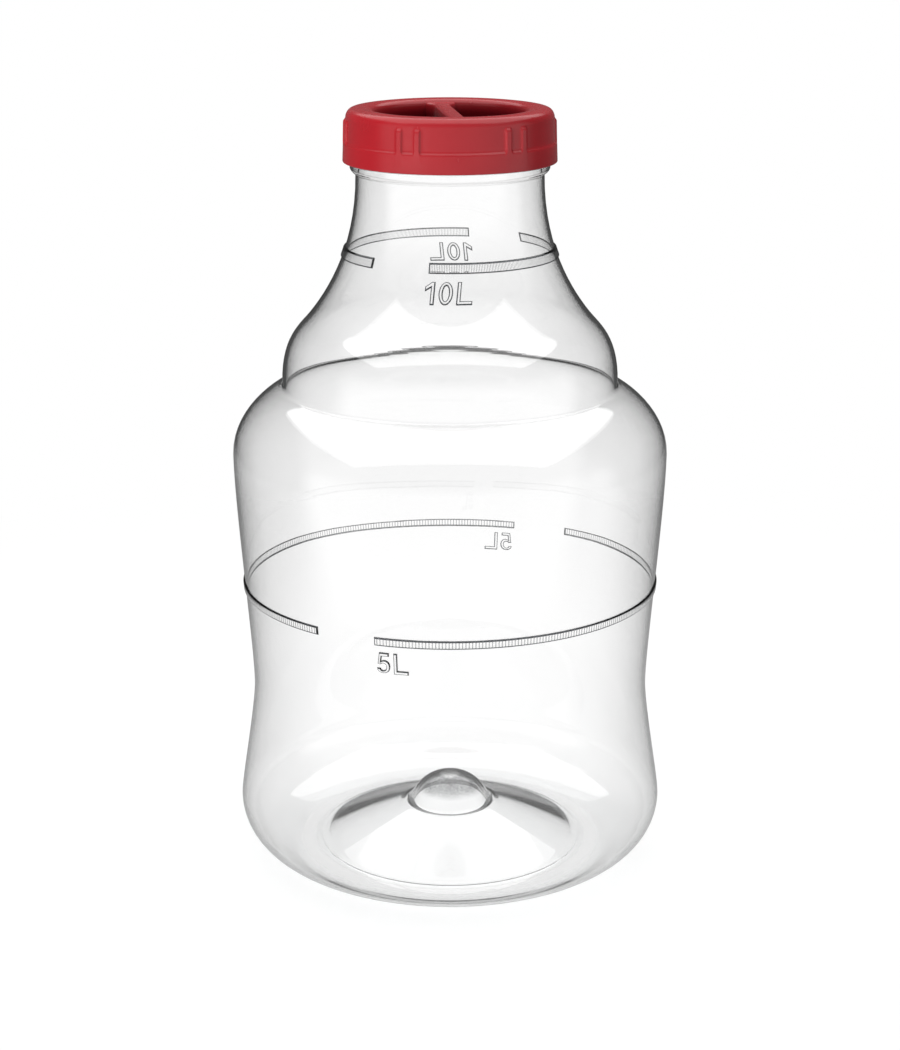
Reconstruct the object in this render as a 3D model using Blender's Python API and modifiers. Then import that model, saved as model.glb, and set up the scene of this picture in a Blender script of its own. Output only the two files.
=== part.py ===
"""Wide-neck demijohn: a clear blown vessel, its red screw cap and the flat ring seal under the cap.

Metres, +Z up. The origin is the middle of the ring that the vessel stands on.
Angles are in degrees round +Z: 0 faces the front (-Y) and they grow towards the right (+X).
"""
import math

import bmesh
import bpy
from mathutils import Matrix, Vector
from mathutils.geometry import interpolate_bezier

OBJECT_NAME = "demijohn"

# How finely round shapes are made
ROUND_SEGMENTS = 48
CURVE_STEPS = 4
CORNER_STEPS = 3

# A quarter circle as one Bezier piece, and one full turn
QUARTER_SHARE = 0.5523
FULL_TURN = 360.0

# The whole object, from the ring that it stands on to the top of the cap
TOTAL_HEIGHT = 0.4000

# Vessel, outside: each rise is measured from the size before it
HEEL_DIAMETER = 0.2280
HEEL_HEIGHT = 0.0300
WAIST_DIAMETER = 0.2114
WAIST_RISE = 0.0650
SHOULDER_DIAMETER = 0.2270
SHOULDER_RISE = 0.1265
CREASE_DIAMETER = 0.1790
CREASE_RISE = 0.0349
CREASE_LEAN = 71.0
CREASE_FILLET = 0.0025
BULB_INSET = 0.0012
SLOPE_DIAMETER = 0.1476
SLOPE_RISE = 0.0350
SLOPE_LEAN = 39.0
NECK_DIAMETER = 0.0974

# How far each curve's handles reach, as shares of the rise between its two ends
WAIST_SHARES = (0.11, 0.23)
SHOULDER_SHARES = (0.17, 0.23)
CREASE_SHARES = (0.56, 0.20)
BULB_SHARES = (0.65, 0.26)
NECK_SHARES = (0.24, 0.49)

# Vessel, base: a flat standing ring, a domed push-up inside it and a small dome in the middle
FOOT_OUTER_DIAMETER = 0.1660
FOOT_WIDTH = 0.0120
PUSH_UP_EDGE = 0.0018
PUSH_UP_LIP = 0.0030
PUSH_UP_RISE = 0.0175
DOME_DIAMETER = 0.0430
DOME_RISE = 0.0150
DOME_FILLET = 0.0012

# Vessel, walls
BODY_WALL = 0.0008
FINISH_WALL = 0.0022

# Neck finish: the bead under the cap, the threaded wall above it and the rim
BEAD_PROUD = 0.0024
BEAD_HEIGHT = 0.0059
BEAD_EDGE = 0.0016
BEAD_FACE_SHARE = 0.35
FINISH_STEP = 0.0007
FINISH_HEIGHT = 0.0231
RIM_ROUNDING = 0.0006

# Two-start thread, turned anticlockwise from above to open
THREAD_STARTS = 2
THREAD_LEAD = 0.0120
THREAD_DEPTH = 0.0019
THREAD_ROOT_HALF = 0.0013
THREAD_CREST_HALF = 0.0006
THREAD_ANGLE = 200.0
THREAD_STEPS = 24
THREAD_START_ANGLE = 40.0
THREAD_START_HEIGHT = 0.0072
THREAD_BITE = 0.0006
THREAD_CLEARANCE = 0.0005
THREAD_FLANK_GAP = 0.0004
CAP_THREAD_CLEARANCE = 0.0007

# Raised capacity bands, each in two arcs with a gap before the next
BAND_PROUD = 0.0012
BAND_BITE = 0.0005
LOWER_BAND_HEIGHT = 0.0555
LOWER_BAND_WIDTH = 0.0045
LOWER_BAND_START = -20.0
LOWER_BAND_ANGLE = 163.0
UPPER_BAND_DROP = 0.0392
UPPER_BAND_WIDTH = 0.0052
UPPER_BAND_START = -10.8
UPPER_BAND_ANGLE = 146.3
BAND_ARCS = 2
BAND_STEPS = 22

# Gaps between pieces that touch
REST_GAP = 0.0003
CAP_TO_BEAD = 0.0005

# Ring seal
SEAL_THICKNESS = 0.0015
SEAL_LAP = 0.0025
SEAL_EDGE_GAP = 0.0005

# Screw cap: skirt and top
SKIRT_WALL = 0.0015
SKIRT_DRAFT = 0.0003
SKIRT_CHAMFER = 0.0006
PLATE_THICKNESS = 0.0020
PLATE_CROWN = 0.0004
TOP_ROUNDING_WIDTH = 0.0038
TOP_ROUNDING_HEIGHT = 0.0048
CAP_BAND_HEIGHT = 0.0100
CAP_BAND_PROUD = 0.0014
CAP_BAND_STEP = 0.0014
CAP_TURN = 7.0

# Screw cap: hand recess with its cross bar
CUP_GAP = 0.0062
CUP_WALL = 0.0018
CUP_FILLET = 0.0030
LIP_ROUNDING = 0.0030
RECESS_DEPTH = 0.0160
BAR_WIDTH = 0.0078
BAR_WIDENING = 0.0014
BAR_DROP = 0.0018
BAR_WALL = 0.0021
BAR_ROUNDING = 0.0016

# Screw cap: grip ribs in pairs round the skirt
RIB_PAIRS = 6
RIB_HALF_SPACING = 5.1
RIB_WIDTH = 0.0030
RIB_PROUD = 0.0011
RIB_BITE = 0.0006
RIB_HEIGHT = 0.0122
RIB_SINK = 0.0006
RIB_SIDES = 12
RIB_ROUNDING = 0.0005
RIB_FACE_SHARE = 0.5

# One overrun serves all cuts
CUT_OVERRUN = 0.0010
MERGE_DISTANCE = 0.00001

# Colours (linear) and surface values
CLEAR_PLASTIC = ((0.93, 0.95, 0.96, 1.0), 0.04)
RED_PLASTIC = ((0.42, 0.026, 0.038, 1.0), 0.38)
SEAL_RUBBER = ((0.78, 0.77, 0.73, 1.0), 0.60)

# Heights of the vessel's stations: the neck fills what the body, the finish, the seal and the cap leave
WAIST_HEIGHT = HEEL_HEIGHT + WAIST_RISE
SHOULDER_HEIGHT = WAIST_HEIGHT + SHOULDER_RISE
CREASE_HEIGHT = SHOULDER_HEIGHT + CREASE_RISE
BULB_HEIGHT = CREASE_HEIGHT + CREASE_FILLET
SLOPE_HEIGHT = BULB_HEIGHT + SLOPE_RISE
RIM_HEIGHT = TOTAL_HEIGHT - PLATE_CROWN - PLATE_THICKNESS - SEAL_THICKNESS - 2 * REST_GAP
BEAD_TOP = RIM_HEIGHT - FINISH_HEIGHT
NECK_HEIGHT = BEAD_TOP - BEAD_HEIGHT

# Radii that the neck, the seal and the cap share
NECK_RADIUS = NECK_DIAMETER / 2
FINISH_RADIUS = NECK_RADIUS + FINISH_STEP
MOUTH_RADIUS = FINISH_RADIUS - FINISH_WALL
THREAD_RADIUS = FINISH_RADIUS + THREAD_DEPTH
SKIRT_INNER_RADIUS = THREAD_RADIUS + THREAD_CLEARANCE
SKIRT_RADIUS = SKIRT_INNER_RADIUS + SKIRT_WALL
CUP_RADIUS = MOUTH_RADIUS - CUP_GAP
RECESS_RADIUS = CUP_RADIUS - CUP_WALL

# Heights of the seal and the cap
SEAL_HEIGHT = RIM_HEIGHT + REST_GAP
CAP_BOTTOM = BEAD_TOP + CAP_TO_BEAD
PLATE_UNDERSIDE = SEAL_HEIGHT + SEAL_THICKNESS + REST_GAP - CAP_BOTTOM
PLATE_TOP = PLATE_UNDERSIDE + PLATE_THICKNESS
CAP_HEIGHT = PLATE_TOP + PLATE_CROWN
RECESS_FLOOR = CAP_HEIGHT - RECESS_DEPTH
CUP_UNDERSIDE = RECESS_FLOOR - CUP_WALL
BAR_TOP = CAP_HEIGHT - BAR_DROP


def clear_scene():
    """Remove every object, so that the script can be run again."""
    for old in list(bpy.data.objects):
        bpy.data.objects.remove(old)


def new_collection(name):
    """Make a collection in the scene."""
    collection = bpy.data.collections.new(name)
    bpy.context.scene.collection.children.link(collection)
    return collection


def new_material(name, look, clear=False):
    """Make a Principled material of one colour and roughness."""
    colour, roughness = look
    material = bpy.data.materials.new(name)
    material.use_nodes = True
    shader = material.node_tree.nodes["Principled BSDF"]
    shader.inputs["Base Color"].default_value = colour
    shader.inputs["Roughness"].default_value = roughness
    shader.inputs["Metallic"].default_value = 0.0
    if clear:
        shader.inputs["Transmission Weight"].default_value = 1.0
        shader.inputs["IOR"].default_value = 1.575
    return material


def new_object(name, bm, collection, material=None):
    """Turn a bmesh into an object."""
    mesh = bpy.data.meshes.new(name)
    bm.to_mesh(mesh)
    bm.free()
    mesh.shade_smooth()
    if material:
        mesh.materials.append(material)
    made = bpy.data.objects.new(name, mesh)
    collection.objects.link(made)
    return made


def new_guide(name, bm, collection):
    """Make a solid that is joined to a piece, or cut from it, and not kept."""
    guide = new_object(name, bm, collection)
    guide.hide_render = True
    guide.display_type = "WIRE"
    return guide


def turned(name, outline, collection, material, closed=False):
    """Turn an outline of (radius, height) points round the Z axis."""
    bm = bmesh.new()
    corners = [bm.verts.new((radius, 0.0, height)) for radius, height in outline]
    for first, second in zip(corners, corners[1:]):
        bm.edges.new((first, second))
    if closed:
        bm.edges.new((corners[-1], corners[0]))
    made = new_object(name, bm, collection, material)
    screw = made.modifiers.new("turn", "SCREW")
    screw.axis = "Z"
    screw.angle = math.radians(FULL_TURN)
    screw.steps = ROUND_SEGMENTS
    screw.render_steps = ROUND_SEGMENTS
    screw.use_smooth_shade = True
    screw.use_merge_vertices = True
    screw.merge_threshold = MERGE_DISTANCE
    return made


def boolean(target, guide, operation):
    """Join a guide to a piece, or cut it out of one."""
    modifier = target.modifiers.new(guide.name, "BOOLEAN")
    modifier.operation = operation
    modifier.solver = "EXACT"
    modifier.object = guide


def curve(start, start_handle, end_handle, end, steps=CURVE_STEPS):
    """Points of one Bezier piece of an outline, without its first point."""
    knots = [Vector((*point, 0.0)) for point in (start, start_handle, end_handle, end)]
    points = interpolate_bezier(*knots, steps + 1)
    return [(point.x, point.y) for point in points[1:]]


def soft_corner(start, corner, end, steps=CORNER_STEPS):
    """Points of a quarter round from start to end, tangent to the two lines through corner."""
    start, corner, end = Vector(start), Vector(corner), Vector(end)
    start_handle = start.lerp(corner, QUARTER_SHARE)
    end_handle = end.lerp(corner, QUARTER_SHARE)
    return curve(start, start_handle, end_handle, end, steps)


def rise_curve(start, end, shares, start_lean=0.0, end_lean=0.0, steps=CURVE_STEPS):
    """Points of a wall that rises from start to end and leans inwards by the given angles there."""
    rise = end[1] - start[1]
    start_reach, end_reach = shares[0] * rise, shares[1] * rise
    lean_in, lean_out = math.radians(start_lean), math.radians(end_lean)
    start_handle = (start[0] - math.sin(lean_in) * start_reach, start[1] + math.cos(lean_in) * start_reach)
    end_handle = (end[0] + math.sin(lean_out) * end_reach, end[1] - math.cos(lean_out) * end_reach)
    return curve(start, start_handle, end_handle, end, steps)


def base_outline():
    """Underside of the base, from the middle of the dome out to the standing ring's outer edge."""
    foot_outer = FOOT_OUTER_DIAMETER / 2
    foot_inner = foot_outer - FOOT_WIDTH
    dome_radius = DOME_DIAMETER / 2
    lip = (foot_inner - PUSH_UP_EDGE, PUSH_UP_LIP)
    push_up_top = PUSH_UP_LIP + PUSH_UP_RISE
    dome_top = (0.0, push_up_top + DOME_RISE)
    dome_foot = (dome_radius, push_up_top + DOME_FILLET)
    push_up_start = (dome_radius + DOME_FILLET, push_up_top)
    points = [dome_top]
    points += soft_corner(dome_top, (dome_radius, dome_top[1]), dome_foot, CURVE_STEPS)
    points.append(push_up_start)
    middle = (lip[0] + push_up_start[0]) / 2
    points += soft_corner(push_up_start, (middle, push_up_top), lip, CURVE_STEPS)
    points.append((foot_inner, 0.0))
    points.append((foot_outer, 0.0))
    return points


def wall_outline():
    """Outside of the vessel, from the standing ring up to the foot of the neck bead."""
    foot = (FOOT_OUTER_DIAMETER / 2, 0.0)
    heel = (HEEL_DIAMETER / 2, HEEL_HEIGHT)
    waist = (WAIST_DIAMETER / 2, WAIST_HEIGHT)
    shoulder = (SHOULDER_DIAMETER / 2, SHOULDER_HEIGHT)
    crease = (CREASE_DIAMETER / 2, CREASE_HEIGHT)
    bulb = (crease[0] - BULB_INSET, BULB_HEIGHT)
    slope = (SLOPE_DIAMETER / 2, SLOPE_HEIGHT)
    neck = (NECK_RADIUS, NECK_HEIGHT)
    points = soft_corner(foot, (heel[0], 0.0), heel, CURVE_STEPS)
    points += rise_curve(heel, waist, WAIST_SHARES)
    points += rise_curve(waist, shoulder, SHOULDER_SHARES)
    points += rise_curve(shoulder, crease, CREASE_SHARES, end_lean=CREASE_LEAN)
    points += soft_corner(crease, (bulb[0], crease[1]), bulb)
    points += rise_curve(bulb, slope, BULB_SHARES, end_lean=SLOPE_LEAN)
    points += rise_curve(slope, neck, NECK_SHARES, start_lean=SLOPE_LEAN)
    return points


def finish_outline():
    """Outside of the bead and the threaded wall, up to the rim's outer edge."""
    bead = NECK_RADIUS + BEAD_PROUD
    face_foot = BEAD_TOP - BEAD_EDGE - BEAD_HEIGHT * BEAD_FACE_SHARE
    points = soft_corner((NECK_RADIUS, NECK_HEIGHT), (bead, NECK_HEIGHT), (bead, face_foot))
    points.append((bead, BEAD_TOP - BEAD_EDGE))
    points += soft_corner(points[-1], (bead, BEAD_TOP), (bead - BEAD_EDGE, BEAD_TOP), 2)
    points.append((FINISH_RADIUS, BEAD_TOP))
    points.append((FINISH_RADIUS, RIM_HEIGHT - RIM_ROUNDING))
    points.append((FINISH_RADIUS - RIM_ROUNDING, RIM_HEIGHT))
    return points


def inset(points, heights_and_walls):
    """Move an outline inwards by its wall, which grows from one height to the next."""
    (low, thin), (high, thick) = heights_and_walls
    moved = []
    for index, (radius, height) in enumerate(points):
        before = Vector(points[max(index - 1, 0)])
        after = Vector(points[min(index + 1, len(points) - 1)])
        along = (after - before).normalized()
        share = min(max((height - low) / (high - low), 0.0), 1.0)
        wall = thin + (thick - thin) * share
        moved.append((radius - along.y * wall, height + along.x * wall))
    return moved


def radius_at(points, height):
    """Radius of an outline that rises steadily, at one height."""
    for (low_radius, low), (high_radius, high) in zip(points, points[1:]):
        if low <= height <= high:
            return low_radius + (high_radius - low_radius) * (height - low) / (high - low)
    raise ValueError("the height lies outside the outline")


def swept_solid(bm, section, start_angle, angle, steps, rise=0.0):
    """Sweep a section of (radius, height) corners round Z, rising as it goes, with closed ends."""
    heading = math.radians(start_angle) - math.pi / 2
    corners = [bm.verts.new((r * math.cos(heading), r * math.sin(heading), z)) for r, z in section]
    face = bm.faces.new(corners)
    swept = bmesh.ops.spin(
        bm,
        geom=[face],
        cent=(0.0, 0.0, 0.0),
        axis=(0.0, 0.0, 1.0),
        dvec=(0.0, 0.0, rise / steps),
        angle=math.radians(angle),
        steps=steps,
    )
    last = [item for item in swept["geom_last"] if isinstance(item, bmesh.types.BMVert)]
    return corners, last


def run_out(corners, crest_radius, root_radius):
    """Sink the crest of a thread's end into its wall, so that the thread runs out."""
    for corner in corners:
        if abs(math.hypot(corner.co.x, corner.co.y) - crest_radius) < MERGE_DISTANCE:
            reach = root_radius / crest_radius
            corner.co.x *= reach
            corner.co.y *= reach


def thread_ridges(bm, wall_radius, crest_radius, height, start_angle):
    """Add the thread's starts, which stand out of a wall towards their crests."""
    inwards = 1.0 if crest_radius > wall_radius else -1.0
    root = wall_radius - inwards * THREAD_BITE
    flank = (THREAD_ROOT_HALF - THREAD_CREST_HALF) / abs(crest_radius - wall_radius)
    root_half = THREAD_ROOT_HALF + flank * THREAD_BITE
    rise = THREAD_LEAD * THREAD_ANGLE / FULL_TURN
    for start in range(THREAD_STARTS):
        section = [
            (root, height - root_half),
            (crest_radius, height - THREAD_CREST_HALF),
            (crest_radius, height + THREAD_CREST_HALF),
            (root, height + root_half),
        ]
        angle = start_angle + start * FULL_TURN / THREAD_STARTS
        ends = swept_solid(bm, section, angle, THREAD_ANGLE, THREAD_STEPS, rise)
        for corners in ends:
            run_out(corners, crest_radius, wall_radius - inwards * THREAD_BITE / 2)


def capacity_band(bm, wall, height, width, start_angle, angle):
    """Add a raised band on the vessel's wall, centred on a height."""
    low, high = height - width / 2, height + width / 2
    low_radius, high_radius = radius_at(wall, low), radius_at(wall, high)
    section = [
        (low_radius - BAND_BITE, low),
        (low_radius + BAND_PROUD, low),
        (high_radius + BAND_PROUD, high),
        (high_radius - BAND_BITE, high),
    ]
    for arc in range(BAND_ARCS):
        swept_solid(bm, section, start_angle + arc * FULL_TURN / BAND_ARCS, angle, BAND_STEPS)


def make_vessel(parts, guides, material):
    """Blown vessel with its neck finish, thread and capacity bands, open at the mouth."""
    base = base_outline()
    wall = [base[-1]] + wall_outline()
    outside = base + wall[1:]
    inside = inset(outside, ((SLOPE_HEIGHT, BODY_WALL), (NECK_HEIGHT, NECK_RADIUS - MOUTH_RADIUS)))
    inside[0] = (0.0, outside[0][1] + BODY_WALL)
    inside[-1] = (MOUTH_RADIUS, NECK_HEIGHT)
    rim = [(MOUTH_RADIUS, RIM_HEIGHT - RIM_ROUNDING), (MOUTH_RADIUS + RIM_ROUNDING, RIM_HEIGHT)]
    outline = inside + rim + list(reversed(outside + finish_outline()))
    vessel = turned("vessel", outline, parts, material)

    bm = bmesh.new()
    thread_height = BEAD_TOP + THREAD_START_HEIGHT
    thread_ridges(bm, FINISH_RADIUS, THREAD_RADIUS, thread_height, THREAD_START_ANGLE)
    lower = WAIST_HEIGHT + LOWER_BAND_HEIGHT
    upper = NECK_HEIGHT - UPPER_BAND_DROP
    capacity_band(bm, wall, lower, LOWER_BAND_WIDTH, LOWER_BAND_START, LOWER_BAND_ANGLE)
    capacity_band(bm, wall, upper, UPPER_BAND_WIDTH, UPPER_BAND_START, UPPER_BAND_ANGLE)
    bmesh.ops.recalc_face_normals(bm, faces=bm.faces)
    boolean(vessel, new_guide("vessel_ridges", bm, guides), "UNION")
    return vessel


def make_seal(parts, material):
    """Flat ring that lies on the rim under the cap's top."""
    inner = MOUTH_RADIUS - SEAL_LAP
    outer = SKIRT_INNER_RADIUS - SEAL_EDGE_GAP
    outline = [(inner, SEAL_THICKNESS), (outer, SEAL_THICKNESS), (outer, 0.0), (inner, 0.0)]
    seal = turned("cap_seal", outline, parts, material, closed=True)
    seal.location = (0.0, 0.0, SEAL_HEIGHT)
    return seal


def cap_outline():
    """Cap from the middle of its recess floor, over the top, down the skirt and back underneath."""
    lip_start = (RECESS_RADIUS, PLATE_TOP - LIP_ROUNDING)
    lip_end = (RECESS_RADIUS + LIP_ROUNDING, PLATE_TOP)
    top_radius = SKIRT_RADIUS - SKIRT_DRAFT
    edge_start = (top_radius - TOP_ROUNDING_WIDTH, PLATE_TOP)
    edge_end = (top_radius, PLATE_TOP - TOP_ROUNDING_HEIGHT)
    crown = ((lip_end[0] + edge_start[0]) / 2, CAP_HEIGHT)
    points = [(0.0, RECESS_FLOOR), (RECESS_RADIUS - CUP_FILLET, RECESS_FLOOR)]
    floor_end = (RECESS_RADIUS, RECESS_FLOOR + CUP_FILLET)
    points += soft_corner(points[-1], (RECESS_RADIUS, RECESS_FLOOR), floor_end)
    points.append(lip_start)
    points += soft_corner(lip_start, (RECESS_RADIUS, PLATE_TOP), lip_end)
    points.append(crown)
    points.append(edge_start)
    points += soft_corner(edge_start, (top_radius, PLATE_TOP), edge_end)

    band_radius = SKIRT_RADIUS + CAP_BAND_PROUD
    points.append((SKIRT_RADIUS, CAP_BAND_HEIGHT + CAP_BAND_STEP / 2))
    points.append((band_radius - SKIRT_DRAFT, CAP_BAND_HEIGHT - CAP_BAND_STEP / 2))
    points.append((band_radius, SKIRT_CHAMFER))
    points.append((band_radius - SKIRT_CHAMFER, 0.0))
    points.append((SKIRT_INNER_RADIUS + SKIRT_CHAMFER, 0.0))
    points.append((SKIRT_INNER_RADIUS, SKIRT_CHAMFER))
    points.append((SKIRT_INNER_RADIUS, PLATE_UNDERSIDE))
    points.append((CUP_RADIUS, PLATE_UNDERSIDE))
    cup_foot = (CUP_RADIUS, CUP_UNDERSIDE + CUP_FILLET + CUP_WALL)
    points.append(cup_foot)
    cup_floor = (CUP_RADIUS - CUP_FILLET - CUP_WALL, CUP_UNDERSIDE)
    points += soft_corner(cup_foot, (CUP_RADIUS, CUP_UNDERSIDE), cup_floor)
    points.append((0.0, CUP_UNDERSIDE))
    return points


def add_ribs(bm):
    """Add the upright grip ribs, two by two, between the band and the rounded top edge."""
    depth = RIB_PROUD + RIB_BITE
    reach = SKIRT_RADIUS + RIB_PROUD - depth / 2
    foot = CAP_BAND_HEIGHT - RIB_SINK
    for pair in range(RIB_PAIRS):
        middle = (pair + RIB_FACE_SHARE) * FULL_TURN / RIB_PAIRS
        for side in (-RIB_HALF_SPACING, RIB_HALF_SPACING):
            heading = math.radians(middle + side) - math.pi / 2
            made = bmesh.ops.create_cone(
                bm, cap_ends=True, segments=RIB_SIDES, radius1=1.0, radius2=1.0, depth=1.0
            )
            rib = made["verts"]
            bmesh.ops.scale(bm, verts=rib, vec=(depth / 2, RIB_WIDTH / 2, RIB_HEIGHT))
            rims = {edge for vert in rib for edge in vert.link_edges if is_rim(edge)}
            bevelled = bmesh.ops.bevel(
                bm, geom=list(rims), offset=RIB_ROUNDING, segments=1, affect="EDGES", profile=0.5
            )
            rib = list({vert for vert in rib if vert.is_valid} | set(bevelled["verts"]))
            turn = Matrix.Rotation(heading, 3, "Z")
            bmesh.ops.rotate(bm, verts=rib, cent=(0.0, 0.0, 0.0), matrix=turn)
            place = (math.cos(heading) * reach, math.sin(heading) * reach, foot + RIB_HEIGHT / 2)
            bmesh.ops.translate(bm, verts=rib, vec=place)


def is_rim(edge):
    """True for an edge that lies level, round one end of a rib."""
    return abs(edge.verts[0].co.z - edge.verts[1].co.z) < MERGE_DISTANCE


def add_bar(bm):
    """Add the cross bar's block, wider at its foot, with its ends inside the recess wall."""
    half_length = RECESS_RADIUS + CUP_WALL / 2
    foot = RECESS_FLOOR - CUP_WALL / 2
    made = bmesh.ops.create_cube(bm, size=1.0)
    height = BAR_TOP - foot
    for vert in made["verts"]:
        top = vert.co.z > 0.0
        width = BAR_WIDTH if top else BAR_WIDTH + BAR_WIDENING
        vert.co.x *= width
        vert.co.y *= 2 * half_length
        vert.co.z = foot + height if top else foot
    edges = {edge for vert in made["verts"] for edge in vert.link_edges}
    long_top = [edge for edge in edges if is_long_top(edge)]
    bmesh.ops.bevel(bm, geom=long_top, offset=BAR_ROUNDING, segments=2, affect="EDGES", profile=0.5)


def is_long_top(edge):
    """True for an edge that runs along the top of the bar."""
    first, second = edge.verts[0].co, edge.verts[1].co
    along = abs(first.x - second.x) < MERGE_DISTANCE
    high = min(first.z, second.z) > BAR_TOP - BAR_ROUNDING
    return along and high


def bar_hollow(bm):
    """Slot that cores the bar from underneath."""
    made = bmesh.ops.create_cube(bm, size=1.0)
    low, high = CUP_UNDERSIDE - CUT_OVERRUN, BAR_TOP - BAR_WALL
    for vert in made["verts"]:
        vert.co.x *= BAR_WIDTH - 2 * BAR_WALL
        vert.co.y *= 2 * (RECESS_RADIUS - CUP_WALL)
        vert.co.z = high if vert.co.z > 0.0 else low


def make_cap(parts, guides, material):
    """Moulded screw cap: ribbed skirt, hand recess with a cored cross bar, and its inner thread."""
    cap = turned("screw_cap", cap_outline(), parts, material)
    additions = bmesh.new()
    add_bar(additions)
    add_ribs(additions)
    flanks = THREAD_ROOT_HALF + THREAD_CREST_HALF + THREAD_FLANK_GAP
    thread_height = BEAD_TOP + THREAD_START_HEIGHT - flanks - CAP_BOTTOM
    crest = FINISH_RADIUS + CAP_THREAD_CLEARANCE
    thread_ridges(additions, SKIRT_INNER_RADIUS, crest, thread_height, THREAD_START_ANGLE - CAP_TURN)
    bmesh.ops.recalc_face_normals(additions, faces=additions.faces)
    joined = new_guide("cap_additions", additions, guides)
    hollow = bmesh.new()
    bar_hollow(hollow)
    cut = new_guide("bar_hollow", hollow, guides)
    boolean(cap, joined, "UNION")
    boolean(cap, cut, "DIFFERENCE")
    for item in (cap, joined, cut):
        item.location = (0.0, 0.0, CAP_BOTTOM)
        item.rotation_euler = (0.0, 0.0, math.radians(CAP_TURN))
    return cap


def main():
    """Build the demijohn."""
    clear_scene()
    parts = new_collection(OBJECT_NAME)
    guides = new_collection(OBJECT_NAME + "_guides")
    make_vessel(parts, guides, new_material("clear_plastic", CLEAR_PLASTIC, clear=True))
    make_seal(parts, new_material("seal_rubber", SEAL_RUBBER))
    make_cap(parts, guides, new_material("red_plastic", RED_PLASTIC))


main()
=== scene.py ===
"""Looks of a wide-neck demijohn: clear blown vessel, red screw cap, ring seal and a plain photo studio.

Metres, +Z up. The origin is the middle of the ring that the vessel stands on.
Angles are in degrees round +Z: 0 faces the front (-Y) and they grow towards the right (+X).
"""
import math

import bmesh
import bpy
from bpy.props import FloatProperty, FloatVectorProperty, IntProperty, PointerProperty
from mathutils import Matrix, Vector
from mathutils.geometry import interpolate_bezier


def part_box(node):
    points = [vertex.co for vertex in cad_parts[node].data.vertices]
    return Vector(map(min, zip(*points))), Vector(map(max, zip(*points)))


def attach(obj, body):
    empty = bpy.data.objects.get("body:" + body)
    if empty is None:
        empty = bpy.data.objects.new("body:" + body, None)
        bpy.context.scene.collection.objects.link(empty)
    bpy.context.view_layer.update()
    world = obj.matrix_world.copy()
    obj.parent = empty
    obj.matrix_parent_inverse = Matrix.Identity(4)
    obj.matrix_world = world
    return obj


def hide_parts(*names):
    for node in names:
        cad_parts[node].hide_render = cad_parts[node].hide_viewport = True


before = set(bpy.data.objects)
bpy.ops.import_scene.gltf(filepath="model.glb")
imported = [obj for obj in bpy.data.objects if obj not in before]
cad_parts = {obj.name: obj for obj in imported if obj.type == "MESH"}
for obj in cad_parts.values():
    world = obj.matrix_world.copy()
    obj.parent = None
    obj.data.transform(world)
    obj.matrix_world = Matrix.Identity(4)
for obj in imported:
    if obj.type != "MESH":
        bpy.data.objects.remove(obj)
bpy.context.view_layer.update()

bl_info = {
    "name": "Demijohn",
    "version": (1, 0, 0),
    "blender": (4, 5, 0),
    "location": "View3D > Sidebar > Demijohn",
    "description": "Dresses the packed demijohn with its blown vessel, cap, seal and studio",
    "category": "Object",
}

# Places that the frame gives
VESSEL_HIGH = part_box("vessel")[1]
CAP_LOW, CAP_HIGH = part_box("screw_cap")
SEAL_LOW, SEAL_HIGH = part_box("cap_seal")
RIM_HEIGHT = VESSEL_HIGH.z
CAP_BOTTOM = CAP_LOW.z
CAP_TOP = CAP_HIGH.z

# A quarter circle as one Bezier piece, one turn and its axis, and how finely shapes are made and merged
QUARTER_SHARE = 0.5523
FULL_TURN = 360.0
HALF_TURN = FULL_TURN / 2
UP = (0.0, 0.0, 1.0)
CURVE_STEPS = 14
CORNER_STEPS = 6
FINE_STEPS = 4
MERGE_DISTANCE = 0.000001
WIDE_MERGE_DISTANCE = MERGE_DISTANCE * 10
SHARP_ANGLE = 38.0

# Vessel: heights of its stations, and the leans of its wall in degrees from upright
HEEL_HEIGHT = 0.0300
WAIST_HEIGHT = 0.0950
SHOULDER_HEIGHT = 0.2215
CREASE_HEIGHT = 0.2564
CREASE_LEAN = 71.0
CREASE_FILLET = 0.0025
BULB_INSET = 0.0012
SLOPE_HEIGHT = 0.2939
SLOPE_LEAN = 39.0
NECK_HEIGHT = 0.3665

# How far each curve's handles reach, as shares of the rise between its two ends
WAIST_SHARES = (0.11, 0.23)
SHOULDER_SHARES = (0.17, 0.23)
CREASE_SHARES = (0.56, 0.20)
BULB_SHARES = (0.65, 0.26)
NECK_SHARES = (0.24, 0.49)

# Vessel: standing ring, push-up and its small dome. The push-up falls to a lip close over the floor, ever
# steeper: at its first slope it would fall by PUSH_UP_FALL. A narrow shelf joins the lip to the ring
FOOT_OUTER_RADIUS = 0.0820
FOOT_WIDTH = 0.0095
FOOT_ROUNDING = 0.0012
PUSH_UP_EDGE = 0.0039
PUSH_UP_LIP = 0.0004
LIP_SHELF = 0.0014
LIP_STEP = 0.0002
PUSH_UP_RISE = 0.0206
PUSH_UP_FALL = 0.0174
PUSH_UP_TOP = PUSH_UP_LIP + PUSH_UP_RISE
FOOT_INNER_RADIUS = FOOT_OUTER_RADIUS - FOOT_WIDTH
LIP_RADIUS = FOOT_INNER_RADIUS - PUSH_UP_EDGE
DOME_RADIUS = 0.0202
DOME_RISE = 0.0156
DOME_LEAN = 24.0
DOME_FILLET = 0.0024
DOME_HANDLES = (0.0095, 0.0085)

# Vessel: painted shade of the dome, which stands for the reflections inside it and grows between two depths
# under its top, outside the gate's clear spot, and the slants between which the push-up gets painted shade,
# where 0 is straight on and 1 is edge on
DOME_SHADE = 0.8
DOME_SHADE_LOW = 0.0085
DOME_SHADE_HIGH = 0.0045
GATE_RADIUS = 0.0052
GATE_EDGE = 0.0008
PUSH_UP_FACING = (0.67, 0.74)

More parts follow.
